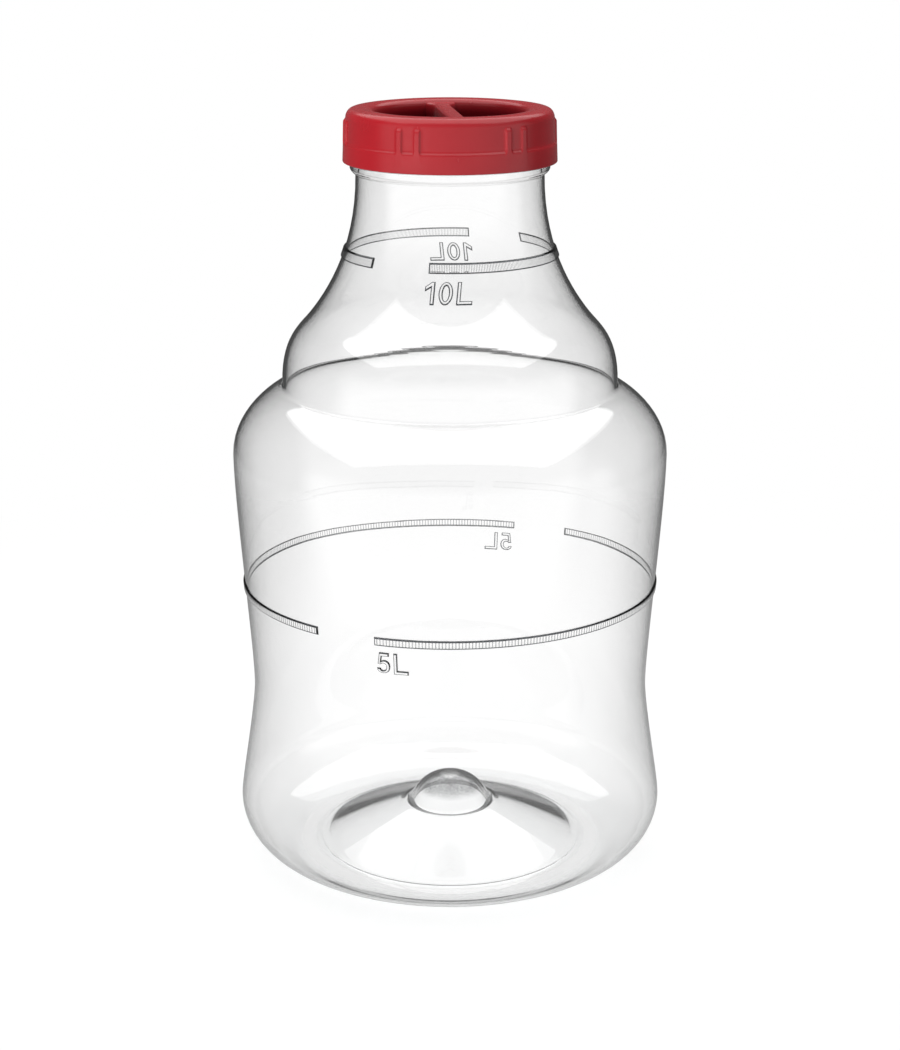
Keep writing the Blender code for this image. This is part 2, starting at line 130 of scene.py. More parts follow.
# Vessel: thickness in the base's middle, beside the dome, at the dome's foot and at the lip, the radius at
# which the wall is thin again, and the height at which it begins to thicken towards the shoulder
MIDDLE_WALL = 0.0018
DOME_SIDE_WALL = 0.0026
BASE_WALL = 0.0010
LIP_WALL = 0.0040
THIN_RADIUS = 0.0940
THICKENING_HEIGHT = 0.2100

# Neck finish: bead, threaded wall, rim and the two-start thread
CAP_TO_BEAD = 0.0005
BEAD_TOP = CAP_BOTTOM - CAP_TO_BEAD
BEAD_PROUD = 0.0029
BEAD_WALL = 0.0014
BEAD_EDGE = 0.0006
BEAD_FACE = 0.0014
BEAD_FOOT_LEAN = 45.0
BEAD_SHARES = (0.35, 0.45)
FINISH_STEP = 0.0012
RIM_ROUNDING = 0.0008
THREAD_STARTS = 2
THREAD_LEAD = 0.0120
THREAD_DEPTH = 0.0019
THREAD_ROOT_HALF = 0.0013
THREAD_CREST_HALF = 0.0006
THREAD_ANGLE = 200.0
THREAD_STEPS = 80
THREAD_START_ANGLE = 40.0
THREAD_START_HEIGHT = 0.0072
THREAD_HEIGHT = BEAD_TOP + THREAD_START_HEIGHT
THREAD_BITE = 0.0006
THREAD_CLEARANCE = 0.0005
THREAD_FLANK_GAP = 0.0004
CAP_THREAD_CLEARANCE = 0.0007

# Raised capacity bands, each in two arcs: middle height, width, start angle and length of each arc
BANDS = ((0.1505, 0.0045, -20.0, 163.0), (0.3273, 0.0052, -10.8, 146.3))
BAND_ARCS = 2
BAND_ROUNDING = 0.0008
BAND_STEPS = 3
BAND_ROW_SPACE = BAND_ROUNDING * 1.5

# Names of the notes on the vessel's faces, and the lean and height from which a face is a side of a band or
# figure. These sides get a painted shade, which stands for the light that their rounded edges bend away
MARK_SIDE = "mark_side"
BAND_FACE = "band_face"
SIDE_LEAN = 10.0
SIDE_RISE = 0.00005

# Fine upright ticks along the bands: how many go round the vessel, and how dark they are
BAND_TICKS = 420
TICK_SHARE = 0.85

# Capacity figures below the bands: text, height of their foot, height, width, and the angle of their left
# edge. A stroke and the gap between two figures are shares of their height
FIGURE_DEPTH = 0.0010
FIGURE_BITE = 0.0004
FIGURE_ROUNDING = 0.0005
STROKE_SHARE = 0.17
FIGURE_GAP_SHARE = 0.16
FIGURE_STEPS = 8
FIGURES = (("5L", 0.1338, 0.0111, 0.0162, -19.4), ("10L", 0.3103, 0.0106, 0.0238, -12.0))

# Screw cap: skirt, top and lower band
SKIRT_WALL = 0.0015
SKIRT_DRAFT = 0.0003
SKIRT_CHAMFER = 0.0006
PLATE_THICKNESS = 0.0020
PLATE_CROWN = 0.0004
TOP_ROUNDING_WIDTH = 0.0038
TOP_ROUNDING_HEIGHT = 0.0048
CAP_BAND_HEIGHT = 0.0100
CAP_BAND_PROUD = 0.0014
CAP_BAND_STEP = 0.0014
SKIRT_ROWS = 14

# Screw cap: hand recess and cross bar
CUP_GAP = 0.0062
CUP_WALL = 0.0018
CUP_FILLET = 0.0030
LIP_ROUNDING = 0.0030
RECESS_DEPTH = 0.0160
RECESS_FLOOR = CAP_TOP - RECESS_DEPTH
BAR_DROP = 0.0018
BAR_WIDENING = 0.0014
BAR_FLARE = 0.0045
BAR_FLARE_LENGTH = 0.0120
BAR_WALL = 0.0021
BAR_ROUNDING = 0.0016
BAR_STEPS = 4
BAR_CUTS = 30

# Screw cap: how far it is turned, its grip ribs, in pairs, and the angle of its columns at and between them
CAP_TURN = 7.4
RIB_PAIRS = 6
RIB_HALF_SPACING = 5.1
RIB_PROUD = 0.0011
RIB_HEIGHT = 0.0122
RIB_FILLET = 0.0010
RIB_COLUMN = 0.25
PLAIN_COLUMN = 1.5

# Ring seal: how far it reaches inwards, as a share of the gap between mouth and cup, and its soft edges
SEAL_REACH_SHARE = 0.4
SEAL_EDGE_SHARE = 0.3
SEAL_STEPS = 3

# Clear wall: the shares of the lamps' red, green and blue light that get through it, with full cover
LIGHT_THROUGH = (0.9, 0.91, 0.91, 1.0)

# Sizes of the patterns: waves and haze of the blown wall, mottle of the dome's painted shade, flow marks and
# grain of the cap, and cells of the seal. The haze, grain and cells are drawn coarser than real ones, so
# that they show
WAVE_SIZE = 0.045
HAZE_SIZE = 0.012
MOTTLE_SIZE = 0.0009
FLOW_SIZE = 0.018
GRAIN_SIZE = 0.0006
CELL_SIZE = 0.0007

# Nodes: the sockets of a Mix node that share their names, which are its two numbers, its two colours and its
# mixed colour, and the setting of a Map Range node that eases both ends
NUMBER_A, NUMBER_B = 2, 3
COLOUR_A, COLOUR_B = 6, 7
MIXED = 2
SMOOTH = {"interpolation_type": "SMOOTHSTEP"}
BLACK = (0.0, 0.0, 0.0, 1.0)
WHITE = (1.0, 1.0, 1.0, 1.0)

# Camera, in the photograph's frame
CAMERA_DISTANCE = 1.1628
CAMERA_HEIGHT = 0.5262
CAMERA_PITCH = 16.6
CAMERA_FOCAL_PIXELS = 2277.1
PHOTO_LONG_SIDE = 1050
SENSOR_WIDTH = 36.0

# Studio: levels of the floor and the room, where 1 is white, how deep and how wide the shadow is, and what
# a count of bounces exceeds from the first one on
FLOOR_LEVEL = 0.75
FLOOR_BOUNCE = 0.55
FLOOR_STEPS = 96
SHADOW_SHARE = 0.35
SHADOW_START = 0.1
SHADOW_END_SHARE = 0.6
SKY_LOW = math.sin(math.radians(4.0))
SKY_HIGH = math.sin(math.radians(28.0))
SKY_LEVEL = 0.35
ROOM_LEVEL = 0.25
BOUNCED = 0.5

# Studio as mirrors and clear plastic show it: light in front of the object, dark behind it, with the border
# between them turned a little
MIRROR_FRONT = -0.25
MIRROR_BACK = 0.10
MIRROR_FRONT_LEVEL = 1.0
MIRROR_FLOOR_LEVEL = 0.25
MIRROR_ROOM_LEVEL = 0.08
MIRROR_TILT = 0.12

# Lamps: how far the panel's middle lies behind the object, and the fill lamp, low and to the left
PANEL_BACK = 0.38
FILL_PLACE = (-1.1, -1.3, 0.15)
FILL_AIM = (0.0, 0.0, 0.3)
FILL_WIDTH = 0.9
FILL_DEPTH = 0.5
FILL_LEVEL = 14.0


def length(name, default, description):
    """A size in metres that a user can change."""
    return FloatProperty(name=name, default=default, min=0.0, unit="LENGTH", description=description)


def linear(hex_colour):
    """Turn an sRGB hex colour into linear red, green and blue."""
    shares = [int(hex_colour[start:start + 2], 16) / 255 for start in (1, 3, 5)]
    return [share / 12.92 if share <= 0.04045 else ((share + 0.055) / 1.055) ** 2.4 for share in shares]


def colour(name, hex_colour, description):
    """A colour that a user can change."""
    return FloatVectorProperty(
        name=name, default=linear(hex_colour), subtype="COLOR", min=0.0, max=1.0, description=description)


class DEMIJOHN_PG_vessel(bpy.types.PropertyGroup):
    """Sizes and colours of the blown vessel."""

    heel_radius: length("Heel radius", VESSEL_HIGH.x, "Widest radius, at the heel")
    waist_radius: length("Waist radius", 0.1057, "Narrowest radius of the body")
    shoulder_radius: length("Shoulder radius", 0.1139, "Widest radius under the shoulder")
    crease_radius: length("Crease radius", 0.0887, "Radius of the crease over the shoulder")
    slope_radius: length("Slope radius", 0.0731, "Radius where the bulb turns into the neck")
    neck_radius: length("Neck radius", 0.0482, "Radius of the neck under its bead")
    body_wall: length("Body wall", 0.0010, "Thickness of the wall below the shoulder")
    upper_wall: length("Upper wall", 0.0018, "Thickness of the wall over the shoulder and the bulb")
    finish_wall: length("Finish wall", 0.0022, "Thickness of the threaded wall")
    band_proud: length("Band height", 0.0009, "How far the capacity bands stand out")
    columns: IntProperty(name="Columns", default=360, min=72, max=720, description="Faces round the vessel")
    clear: colour("Plastic", "#FFFFFF", "Colour of the clear plastic seen straight on")
    # Colour of the painted shade at the wall's slanted edges, standing for the dark surroundings reflected
    # there
    edge: colour("Plastic at a slant", "#A0A3A4", "Colour where the eye meets the wall at a slant")
    # Colour of the painted shade on the dome and the push-up, which stands for light reflected inside the
    # base
    painted_base_shade: colour("Thick base", "#55585A", "Colour of the thick base where it turns dark")
    # Colour of the painted shade on the sides of bands and figures, and of the fine ticks on the bands
    mark: colour("Edges of marks", "#15171A", "Colour of the rounded sides of bands and figures")


class DEMIJOHN_PG_cap(bpy.types.PropertyGroup):
    """Sizes and colours of the screw cap and its seal."""

    bar_width: length("Bar width", 0.0078, "Width of the cross bar")
    rib_width: length("Rib width", 0.0030, "Width of a grip rib")
    red: colour("Cap", "#B42029", "Colour of the moulded cap")
    deep_red: colour("Cap, darker", "#AA1A24", "Colour of the cap's faint flow marks")
    # Painted shade: the deeper red painted down in the hand recess, where shade falls
    painted_recess_shade: colour("Cap recess", "#5E0812", "Colour down in the hand recess")
    seal: colour("Seal", "#E2E0D8", "Colour of the ring seal")


class DEMIJOHN_PG_stage(bpy.types.PropertyGroup):
    """The studio's size and light."""

    panel_width: length("Panel width", 2.1, "Width of the soft panel overhead")
    panel_depth: length("Panel depth", 2.05, "Depth of the soft panel overhead")
    panel_height: length("Panel height", 1.2, "Height of the soft panel above the floor")
    panel_level: FloatProperty(
        name="Panel level", default=1.55, min=0.0, description="Brightness of the soft panel, 1 for white")
    floor_radius: length("Floor radius", 1.2, "Radius of the floor that takes the shadow")
    floor_colour: colour("Floor", "#F4F4F4", "Colour of the floor")


class NeckSizes:
    """Radii at the neck and in the cap that follow from the vessel's settings."""

    def __init__(self, vessel):
        self.finish = vessel.neck_radius + FINISH_STEP
        self.mouth = self.finish - vessel.finish_wall
        self.thread = self.finish + THREAD_DEPTH
        self.skirt_inner = self.thread + THREAD_CLEARANCE
        self.skirt = self.skirt_inner + SKIRT_WALL
        self.cup = self.mouth - CUP_GAP
        self.recess = self.cup - CUP_WALL


def curve(start, start_handle, end_handle, end, steps=CURVE_STEPS):
    """Points of one Bezier piece of an outline, without its first point."""
    knots = [Vector((*point, 0.0)) for point in (start, start_handle, end_handle, end)]
    return [(point.x, point.y) for point in interpolate_bezier(*knots, steps + 1)[1:]]


def soft_corner(start, corner, end, steps=CORNER_STEPS):
    """Points of a quarter round from start to end, tangent to the two lines through corner."""
    start, corner, end = Vector(start), Vector(corner), Vector(end)
    return curve(start, start.lerp(corner, QUARTER_SHARE), end.lerp(corner, QUARTER_SHARE), end, steps)


def rise_curve(start, end, shares, start_lean=0.0, end_lean=0.0):
    """Points of a wall that rises from start to end and leans inwards by the given angles there."""
    rise = end[1] - start[1]
    low, high = math.radians(start_lean), math.radians(end_lean)
    near, far = shares
    start_handle = (start[0] - math.sin(low) * near * rise, start[1] + math.cos(low) * near * rise)
    end_handle = (end[0] + math.sin(high) * far * rise, end[1] - math.cos(high) * far * rise)
    return curve(start, start_handle, end_handle, end)


def base_outline():
    """Underside of the base, from the middle of the dome out to the standing ring's outer edge."""
    lean = math.radians(DOME_LEAN)
    dome_top = (0.0, PUSH_UP_TOP + DOME_RISE)
    dome_foot = (DOME_RADIUS - DOME_FILLET * math.tan(lean), PUSH_UP_TOP + DOME_FILLET)
    start = (DOME_RADIUS + DOME_FILLET, PUSH_UP_TOP)
    flat, steep = DOME_HANDLES
    handle = (dome_foot[0] - math.sin(lean) * steep, dome_foot[1] + math.cos(lean) * steep)
    points = [dome_top]
    points += curve(dome_top, (flat, dome_top[1]), handle, dome_foot)
    points += soft_corner(dome_foot, (DOME_RADIUS, PUSH_UP_TOP), start)
    for step in range(1, CURVE_STEPS + 1):
        share = step / CURVE_STEPS
        fall = PUSH_UP_FALL * share + (PUSH_UP_RISE - PUSH_UP_FALL) * share * share
        points.append((start[0] + (LIP_RADIUS - start[0]) * share, PUSH_UP_TOP - fall))
    points.append((LIP_RADIUS + LIP_SHELF, PUSH_UP_LIP + LIP_STEP))
    points += soft_corner(points[-1], (FOOT_INNER_RADIUS, 0.0), (FOOT_INNER_RADIUS + FOOT_ROUNDING, 0.0))
    points.append((FOOT_OUTER_RADIUS, 0.0))
    return points


def wall_outline(vessel):
    """Outside of the vessel, from the standing ring up to the foot of the neck bead."""
    heel = (vessel.heel_radius, HEEL_HEIGHT)
    waist = (vessel.waist_radius, WAIST_HEIGHT)
    shoulder = (vessel.shoulder_radius, SHOULDER_HEIGHT)
    crease = (vessel.crease_radius, CREASE_HEIGHT)
    bulb = (crease[0] - BULB_INSET, CREASE_HEIGHT + CREASE_FILLET)
    slope = (vessel.slope_radius, SLOPE_HEIGHT)
    points = soft_corner((FOOT_OUTER_RADIUS, 0.0), (heel[0], 0.0), heel, CURVE_STEPS)
    points += rise_curve(heel, waist, WAIST_SHARES)
    points += rise_curve(waist, shoulder, SHOULDER_SHARES)
    points += rise_curve(shoulder, crease, CREASE_SHARES, end_lean=CREASE_LEAN)
    points += soft_corner(crease, (bulb[0], crease[1]), bulb)
    points += rise_curve(bulb, slope, BULB_SHARES, end_lean=SLOPE_LEAN)
    points += rise_curve(slope, (vessel.neck_radius, NECK_HEIGHT), NECK_SHARES, start_lean=SLOPE_LEAN)
    return points


def with_rows(points, heights):
    """Add a row to a rising outline at each height, and drop the rows that lie too near to it."""
    ends = (points[0], points[-1])
    kept = [
        point for point in points
        if point in ends or all(abs(point[1] - height) > BAND_ROW_SPACE for height in heights)
    ]
    kept += [(radius_at(points, height), height) for height in heights]
    return sorted(kept, key=lambda point: point[1])


def radius_at(points, height):
    """Radius of an outline that rises steadily, at one height."""
    for (low_radius, low), (high_radius, high) in zip(points, points[1:]):
        if low <= height <= high:
            rise = max(high - low, MERGE_DISTANCE)
            return low_radius + (high_radius - low_radius) * (height - low) / rise
    raise ValueError("the height lies outside the outline")


def finish_outline(size, neck_radius):
    """Outside of the bead and the threaded wall, up to the rim's outer edge."""
    bead = neck_radius + BEAD_PROUD
    face_foot = (bead, BEAD_TOP - BEAD_EDGE - BEAD_FACE)
    points = rise_curve((neck_radius, NECK_HEIGHT), face_foot, BEAD_SHARES, start_lean=-BEAD_FOOT_LEAN)
    points.append((bead, BEAD_TOP - BEAD_EDGE))
    points += soft_corner(points[-1], (bead, BEAD_TOP), (bead - BEAD_EDGE, BEAD_TOP))
    points.append((size.finish, BEAD_TOP))
    points.append((size.finish, RIM_HEIGHT - RIM_ROUNDING))
    rim = (size.finish - RIM_ROUNDING, RIM_HEIGHT)
    points += soft_corner(points[-1], (size.finish, RIM_HEIGHT), rim, FINE_STEPS)
    return points


def inside_outline(points, vessel, neck_wall):
    """Inside of the vessel: the wall is thick round the push-up's lip and at the neck, and thin between."""
    upwards = Vector((0.0, 1.0))
    moved = []
    for index, (radius, height) in enumerate(points):
        before = Vector(points[max(index - 1, 0)])
        after = Vector(points[min(index + 1, len(points) - 1)])
        along = (after - before).normalized()
        way = Vector((-along.y, along.x))
        shift = 0.0
        if radius < LIP_RADIUS and height < WAIST_HEIGHT:
            # The base thickens upwards by the square of the way to the lip, and the dome's side outwards
            way = upwards
            share = blend(radius, DOME_RADIUS, LIP_RADIUS, 0.0, 1.0)
            wall = BASE_WALL + (LIP_WALL - BASE_WALL) * share * share
            wall += blend(radius, 0.0, DOME_RADIUS, MIDDLE_WALL - BASE_WALL, 0.0)
            shift = DOME_SIDE_WALL * min(radius / DOME_RADIUS, 1.0 - share)
        elif height < HEEL_HEIGHT and radius < THIN_RADIUS:
            way = way.lerp(upwards, blend(radius, LIP_RADIUS, THIN_RADIUS, 1.0, 0.0)).normalized()
            wall = blend(radius, LIP_RADIUS, THIN_RADIUS, LIP_WALL, vessel.body_wall)
        else:
            wall = blend(height, THICKENING_HEIGHT, CREASE_HEIGHT, vessel.body_wall, vessel.upper_wall)
            wall = min(wall, blend(height, SLOPE_HEIGHT, NECK_HEIGHT, vessel.upper_wall, neck_wall))
        moved.append((radius + shift + way.x * wall, height + way.y * wall))
    return moved


def spun(outline, columns, closed=False):
    """Turn an outline of (radius, height) points round the Z axis, starting at the front."""
    bm = bmesh.new()
    corners = [bm.verts.new((0.0, -radius, height)) for radius, height in outline]
    edges = [bm.edges.new(pair) for pair in zip(corners, corners[1:])]
    if closed:
        edges.append(bm.edges.new((corners[-1], corners[0])))
    bmesh.ops.spin(
        bm, geom=corners + edges, axis=UP, angle=math.radians(FULL_TURN), steps=columns, use_merge=True)
    bmesh.ops.remove_doubles(bm, verts=bm.verts, dist=MERGE_DISTANCE)
    bmesh.ops.recalc_face_normals(bm, faces=bm.faces)
    return bm


def blend(value, low, high, at_low, at_high):
    """Go steadily from one value to another while a third goes from low to high."""
    share = min(max((value - low) / (high - low), 0.0), 1.0)
    return at_low + (at_high - at_low) * share


def angle_of(point):
    """Angle of a point round the Z axis in degrees, from the front towards the right."""
    return math.degrees(math.atan2(point.x, -point.y)) % FULL_TURN


def push_out(verts, reach):
    """Move points away from the Z axis by a length."""
    for vert in verts:
        radius = math.hypot(vert.co.x, vert.co.y)
        vert.co.x *= (radius + reach) / radius
        vert.co.y *= (radius + reach) / radius


def raise_band(bm, band, wall, thickness, proud):
    """Raise a capacity band out of the wall: its faces are extruded outwards and their rim is rounded."""
    height, width, start, angle = band
    step = FULL_TURN / BAND_ARCS
    faces = []
    for face in bm.faces:
        middle = face.calc_center_median()
        if abs(middle.z - height) > width / 2 or (angle_of(middle) - start) % step > angle:
            continue
        if math.hypot(middle.x, middle.y) > radius_at(wall, middle.z) - thickness / 2:
            faces.append(face)
    made = bmesh.ops.extrude_face_region(bm, geom=faces)
    bmesh.ops.delete(bm, geom=[face for face in faces if face.is_valid], context="FACES")
    push_out([item for item in made["geom"] if isinstance(item, bmesh.types.BMVert)], proud)
    tops = {item for item in made["geom"] if isinstance(item, bmesh.types.BMFace)}
    rims = [edge for edge in bm.edges if {face in tops for face in edge.link_faces} == {True, False}]
    bm.normal_update()
    bmesh.ops.bevel(
        bm, geom=rims, offset=BAND_ROUNDING, segments=BAND_STEPS, affect="EDGES", profile=0.5, material=-1)


def swept_solid(bm, section, start_angle, angle, steps, rise=0.0):
    """Sweep a section of (radius, height) corners round Z, rising as it goes, with closed ends."""
    heading = math.radians(start_angle) - math.pi / 2
    corners = [bm.verts.new((r * math.cos(heading), r * math.sin(heading), z)) for r, z in section]
    face = bm.faces.new(corners)
    swept = bmesh.ops.spin(
        bm, geom=[face], axis=UP, dvec=(0.0, 0.0, rise / steps), angle=math.radians(angle), steps=steps)
    return corners, [item for item in swept["geom_last"] if isinstance(item, bmesh.types.BMVert)]


def thread_ridges(bm, wall_radius, crest_radius, height):
    """Add the thread's starts, which stand out of a wall towards their crests and run out at both ends."""
    inwards = 1.0 if crest_radius > wall_radius else -1.0
    root = wall_radius - inwards * THREAD_BITE
    flank = (THREAD_ROOT_HALF - THREAD_CREST_HALF) / abs(crest_radius - wall_radius)
    root_half = THREAD_ROOT_HALF + flank * THREAD_BITE
    rise = THREAD_LEAD * THREAD_ANGLE / FULL_TURN
    section = [
        (root, height - root_half), (crest_radius, height - THREAD_CREST_HALF),
        (crest_radius, height + THREAD_CREST_HALF), (root, height + root_half),
    ]
    sunk = (wall_radius - inwards * THREAD_BITE / 2) / crest_radius
    for start in range(THREAD_STARTS):
        angle = THREAD_START_ANGLE + start * FULL_TURN / THREAD_STARTS
        for corners in swept_solid(bm, section, angle, THREAD_ANGLE, THREAD_STEPS, rise):
            for corner in corners:
                if abs(math.hypot(corner.co.x, corner.co.y) - crest_radius) < WIDE_MERGE_DISTANCE:
                    corner.co.x *= sunk
                    corner.co.y *= sunk


def ellipse(left, right, low, high):
    """Points of an ellipse that fills a box, anticlockwise."""
    steps = FIGURE_STEPS * 4
    points = []
    for step in range(steps):
        turn = math.radians(step * FULL_TURN / steps)
        across = (left + right + (right - left) * math.cos(turn)) / 2
        points.append((across, (low + high + (high - low) * math.sin(turn)) / 2))
    return points


def figure_shape(figure):
    """Width and outlines of one plain figure that is 1 high: anticlockwise, and clockwise for a hole."""
    stroke = STROKE_SHARE
    if figure == "1":
        width = 0.41
        foot = width - stroke
        flag = [(0.28, 1.0), (0.0, 0.78), (0.0, 0.58), (foot, 0.74)]
        return width, [[(foot, 0.0), (width, 0.0), (width, 1.0)] + flag]
    if figure == "L":
        width = 0.66
        points = [(0.0, 0.0), (width, 0.0), (width, stroke), (stroke, stroke), (stroke, 1.0), (0.0, 1.0)]
        return width, [points]
    if figure == "0":
        width = 0.59
        hole = ellipse(stroke, width - stroke, stroke, 1.0 - stroke)
        return width, [ellipse(0.0, width, 0.0, 1.0), hole[::-1]]
    if figure == "5":
        width = 0.61
        top, side, foot = 1.0 - stroke, width - stroke, 0.25
        points = [(0.56, 1.0), (0.12, 1.0), (0.04, 0.45), (stroke, 0.43)]
        points += curve(points[-1], (0.26, 0.52), (side, 0.52), (side, 0.33), FIGURE_STEPS)
        points += curve(points[-1], (side, 0.10), (stroke, 0.10), (stroke, foot), FIGURE_STEPS)
        points.append((0.0, foot))
        points += curve(points[-1], (0.02, -0.06), (width, -0.10), (width, 0.33), FIGURE_STEPS)
        points += curve(points[-1], (width, 0.64), (0.34, 0.70), (stroke + 0.03, 0.59), FIGURE_STEPS)
        return width, [points + [(stroke + 0.07, top), (0.56, top)]]
    raise ValueError("no shape for this figure")


def figure_mesh(text, height, width):
    """Plain figures as a solid of the given size, lying in XY with its left foot at the origin."""
    outlines = bpy.data.curves.new("figures", "CURVE")
    outlines.dimensions = "2D"
    outlines.fill_mode = "BOTH"
    outlines.extrude = ((FIGURE_DEPTH + FIGURE_BITE) / 2 - FIGURE_ROUNDING) / height
    outlines.bevel_depth = FIGURE_ROUNDING / height
    outlines.bevel_resolution = 1
    outlines.offset = -FIGURE_ROUNDING / height
    left = 0.0
    for figure in text:
        advance, loops = figure_shape(figure)
        for loop in loops:
            spline = outlines.splines.new("POLY")
            spline.points.add(len(loop) - 1)
            for point, (across, up) in zip(spline.points, loop):
                point.co = (left + across, up, 0.0, 1.0)
            spline.use_cyclic_u = True
        left += advance + FIGURE_GAP_SHARE
    holder = bpy.data.objects.new("figures", outlines)
    bpy.context.scene.collection.objects.link(holder)
    depsgraph = bpy.context.evaluated_depsgraph_get()
    mesh = bpy.data.meshes.new_from_object(holder.evaluated_get(depsgraph))
    bpy.data.objects.remove(holder)
    bpy.data.curves.remove(outlines)
    low = min(vert.co.z for vert in mesh.vertices)
    to_size = Matrix.Diagonal((width / (left - FIGURE_GAP_SHARE), height, height, 1.0))
    mesh.transform(to_size @ Matrix.Translation((0.0, 0.0, -low)))
    return mesh


def add_figures(bm, wall, figures):
    """Wrap raised figures round the vessel's wall, upright, once in front and once behind."""
    text, foot, height, width, start = figures
    mesh = figure_mesh(text, height, width)
    slant = math.atan2(radius_at(wall, foot) - radius_at(wall, foot + height), height)
    for arc in range(BAND_ARCS):
        before = set(bm.verts)
        bm.from_mesh(mesh)
        added = [vert for vert in bm.verts if vert not in before]
        bmesh.ops.remove_doubles(bm, verts=added, dist=WIDE_MERGE_DISTANCE)
        for vert in bm.verts:
            if vert in before:
                continue
            across, up, out = vert.co
            level = foot + up
            wall_radius = radius_at(wall, level)
            lift = out - FIGURE_BITE
            radius = wall_radius + lift * math.cos(slant)
            heading = math.radians(start + arc * FULL_TURN / BAND_ARCS) + across / wall_radius - math.pi / 2
            level += lift * math.sin(slant)
            vert.co = (radius * math.cos(heading), radius * math.sin(heading), level)
    bpy.data.meshes.remove(mesh)


def as_object(name, bm):
    """Turn a bmesh into an object of the scene."""
    mesh = bpy.data.meshes.new(name)
    bm.to_mesh(mesh)
    bm.free()
    made = bpy.data.objects.new(name, mesh)
    bpy.context.scene.collection.objects.link(made)
    return made


def combined(target, other, operation):
    """Join another solid to a piece, or cut it out of one, and drop the other."""
    modifier = target.modifiers.new(operation.lower(), "BOOLEAN")
    modifier.operation = operation
    modifier.solver = "EXACT"
    modifier.object = other
    depsgraph = bpy.context.evaluated_depsgraph_get()
    mesh = bpy.data.meshes.new_from_object(target.evaluated_get(depsgraph))
    target.modifiers.clear()
    target.data = mesh
    bpy.data.objects.remove(other)
    return target


def finished(piece, material, body, node):
    """Shade a piece, give it its material and set it on its body in place of its CAD node."""
    if not piece.data.polygons:
        raise RuntimeError(piece.name + " has no faces")
    piece.data.shade_smooth()
    piece.data.set_sharp_from_angle(angle=math.radians(SHARP_ANGLE))
    piece.data.materials.clear()
    piece.data.materials.append(material)
    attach(piece, body)
    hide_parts(node)


def build_vessel(vessel):
    """The blown vessel, its wall, bands, figures, bead and thread, as one closed solid."""
    size = NeckSizes(vessel)
    base = base_outline()
    heights = []
    for height, width, _, _ in BANDS:
        heights += [height - width / 2, height + width / 2]
    wall = with_rows([base[-1]] + wall_outline(vessel), heights)
    outside = base + wall[1:]
    inside = inside_outline(outside, vessel, vessel.neck_radius - size.mouth)
    inside[0] = (0.0, outside[0][1] + MIDDLE_WALL)
    inside[-1] = (size.mouth, NECK_HEIGHT)
    fold = vessel.neck_radius + BEAD_PROUD - BEAD_WALL
    fold_foot = (fold, BEAD_TOP - BEAD_EDGE - BEAD_FACE)
    inside += rise_curve(inside[-1], fold_foot, BEAD_SHARES, start_lean=-BEAD_FOOT_LEAN)
    inside += [(fold, BEAD_TOP - BEAD_EDGE), (size.mouth, BEAD_TOP + BEAD_WALL)]
    inside.append((size.mouth, RIM_HEIGHT - RIM_ROUNDING))
    rim = (size.mouth + RIM_ROUNDING, RIM_HEIGHT)
    inside += soft_corner(inside[-1], (size.mouth, RIM_HEIGHT), rim, FINE_STEPS)
    outside += finish_outline(size, vessel.neck_radius)
    bm = spun(inside + outside[::-1], vessel.columns)
    for band in BANDS:
        raise_band(bm, band, wall, vessel.body_wall, vessel.band_proud)
    piece = as_object("blown_vessel", bm)

    marks = bmesh.new()
    thread_ridges(marks, size.finish, size.thread, THREAD_HEIGHT)
    for figures in FIGURES:
        add_figures(marks, wall, figures)
    bmesh.ops.recalc_face_normals(marks, faces=marks.faces)
    combined(piece, as_object("marks", marks), "UNION")
    note_marks(piece.data, wall)
    return piece


def note_marks(mesh, wall):
    """Note which of the vessel's faces slant at a band's or figure's side, and which are a band's front."""
    low, high = wall[0][1], wall[-1][1]
    sides = mesh.attributes.new(MARK_SIDE, "FLOAT", "FACE")
    fronts = mesh.attributes.new(BAND_FACE, "FLOAT", "FACE")
    limit = math.cos(math.radians(SIDE_LEAN))
    for face in mesh.polygons:
        x, y, height = face.center
        radius = math.hypot(x, y)
        if not low < height < high or radius < radius_at(wall, height) + SIDE_RISE:
            continue
        below, above = max(height - BAND_ROUNDING, low), min(height + BAND_ROUNDING, high)
        along = Vector((radius_at(wall, above) - radius_at(wall, below), above - below)).normalized()
        outwards = Vector((x / radius * along.y, y / radius * along.y, -along.x))
        if face.normal.dot(outwards) < limit:
            sides.data[face.index].value = 1.0
        elif any(abs(height - band[0]) < band[1] / 2 for band in BANDS):
            fronts.data[face.index].value = 1.0


def build_seal(vessel):
    """The flat ring seal with softened edges."""
    size = NeckSizes(vessel)
    inner = size.mouth - (size.mouth - size.cup) * SEAL_REACH_SHARE
    outer = SEAL_HIGH.x
    low, high = SEAL_LOW.z, SEAL_HIGH.z
    soft = (high - low) * SEAL_EDGE_SHARE
    outline = []
    for corner, before, after in (
        ((outer, high), (outer - soft, high), (outer, high - soft)),
        ((outer, low), (outer, low + soft), (outer - soft, low)),
        ((inner, low), (inner + soft, low), (inner, low + soft)),
        ((inner, high), (inner, high - soft), (inner + soft, high)),
    ):
        outline.append(before)
        outline += soft_corner(before, corner, after, SEAL_STEPS)
    return as_object("ring_seal", spun(outline, vessel.columns // 2, closed=True))


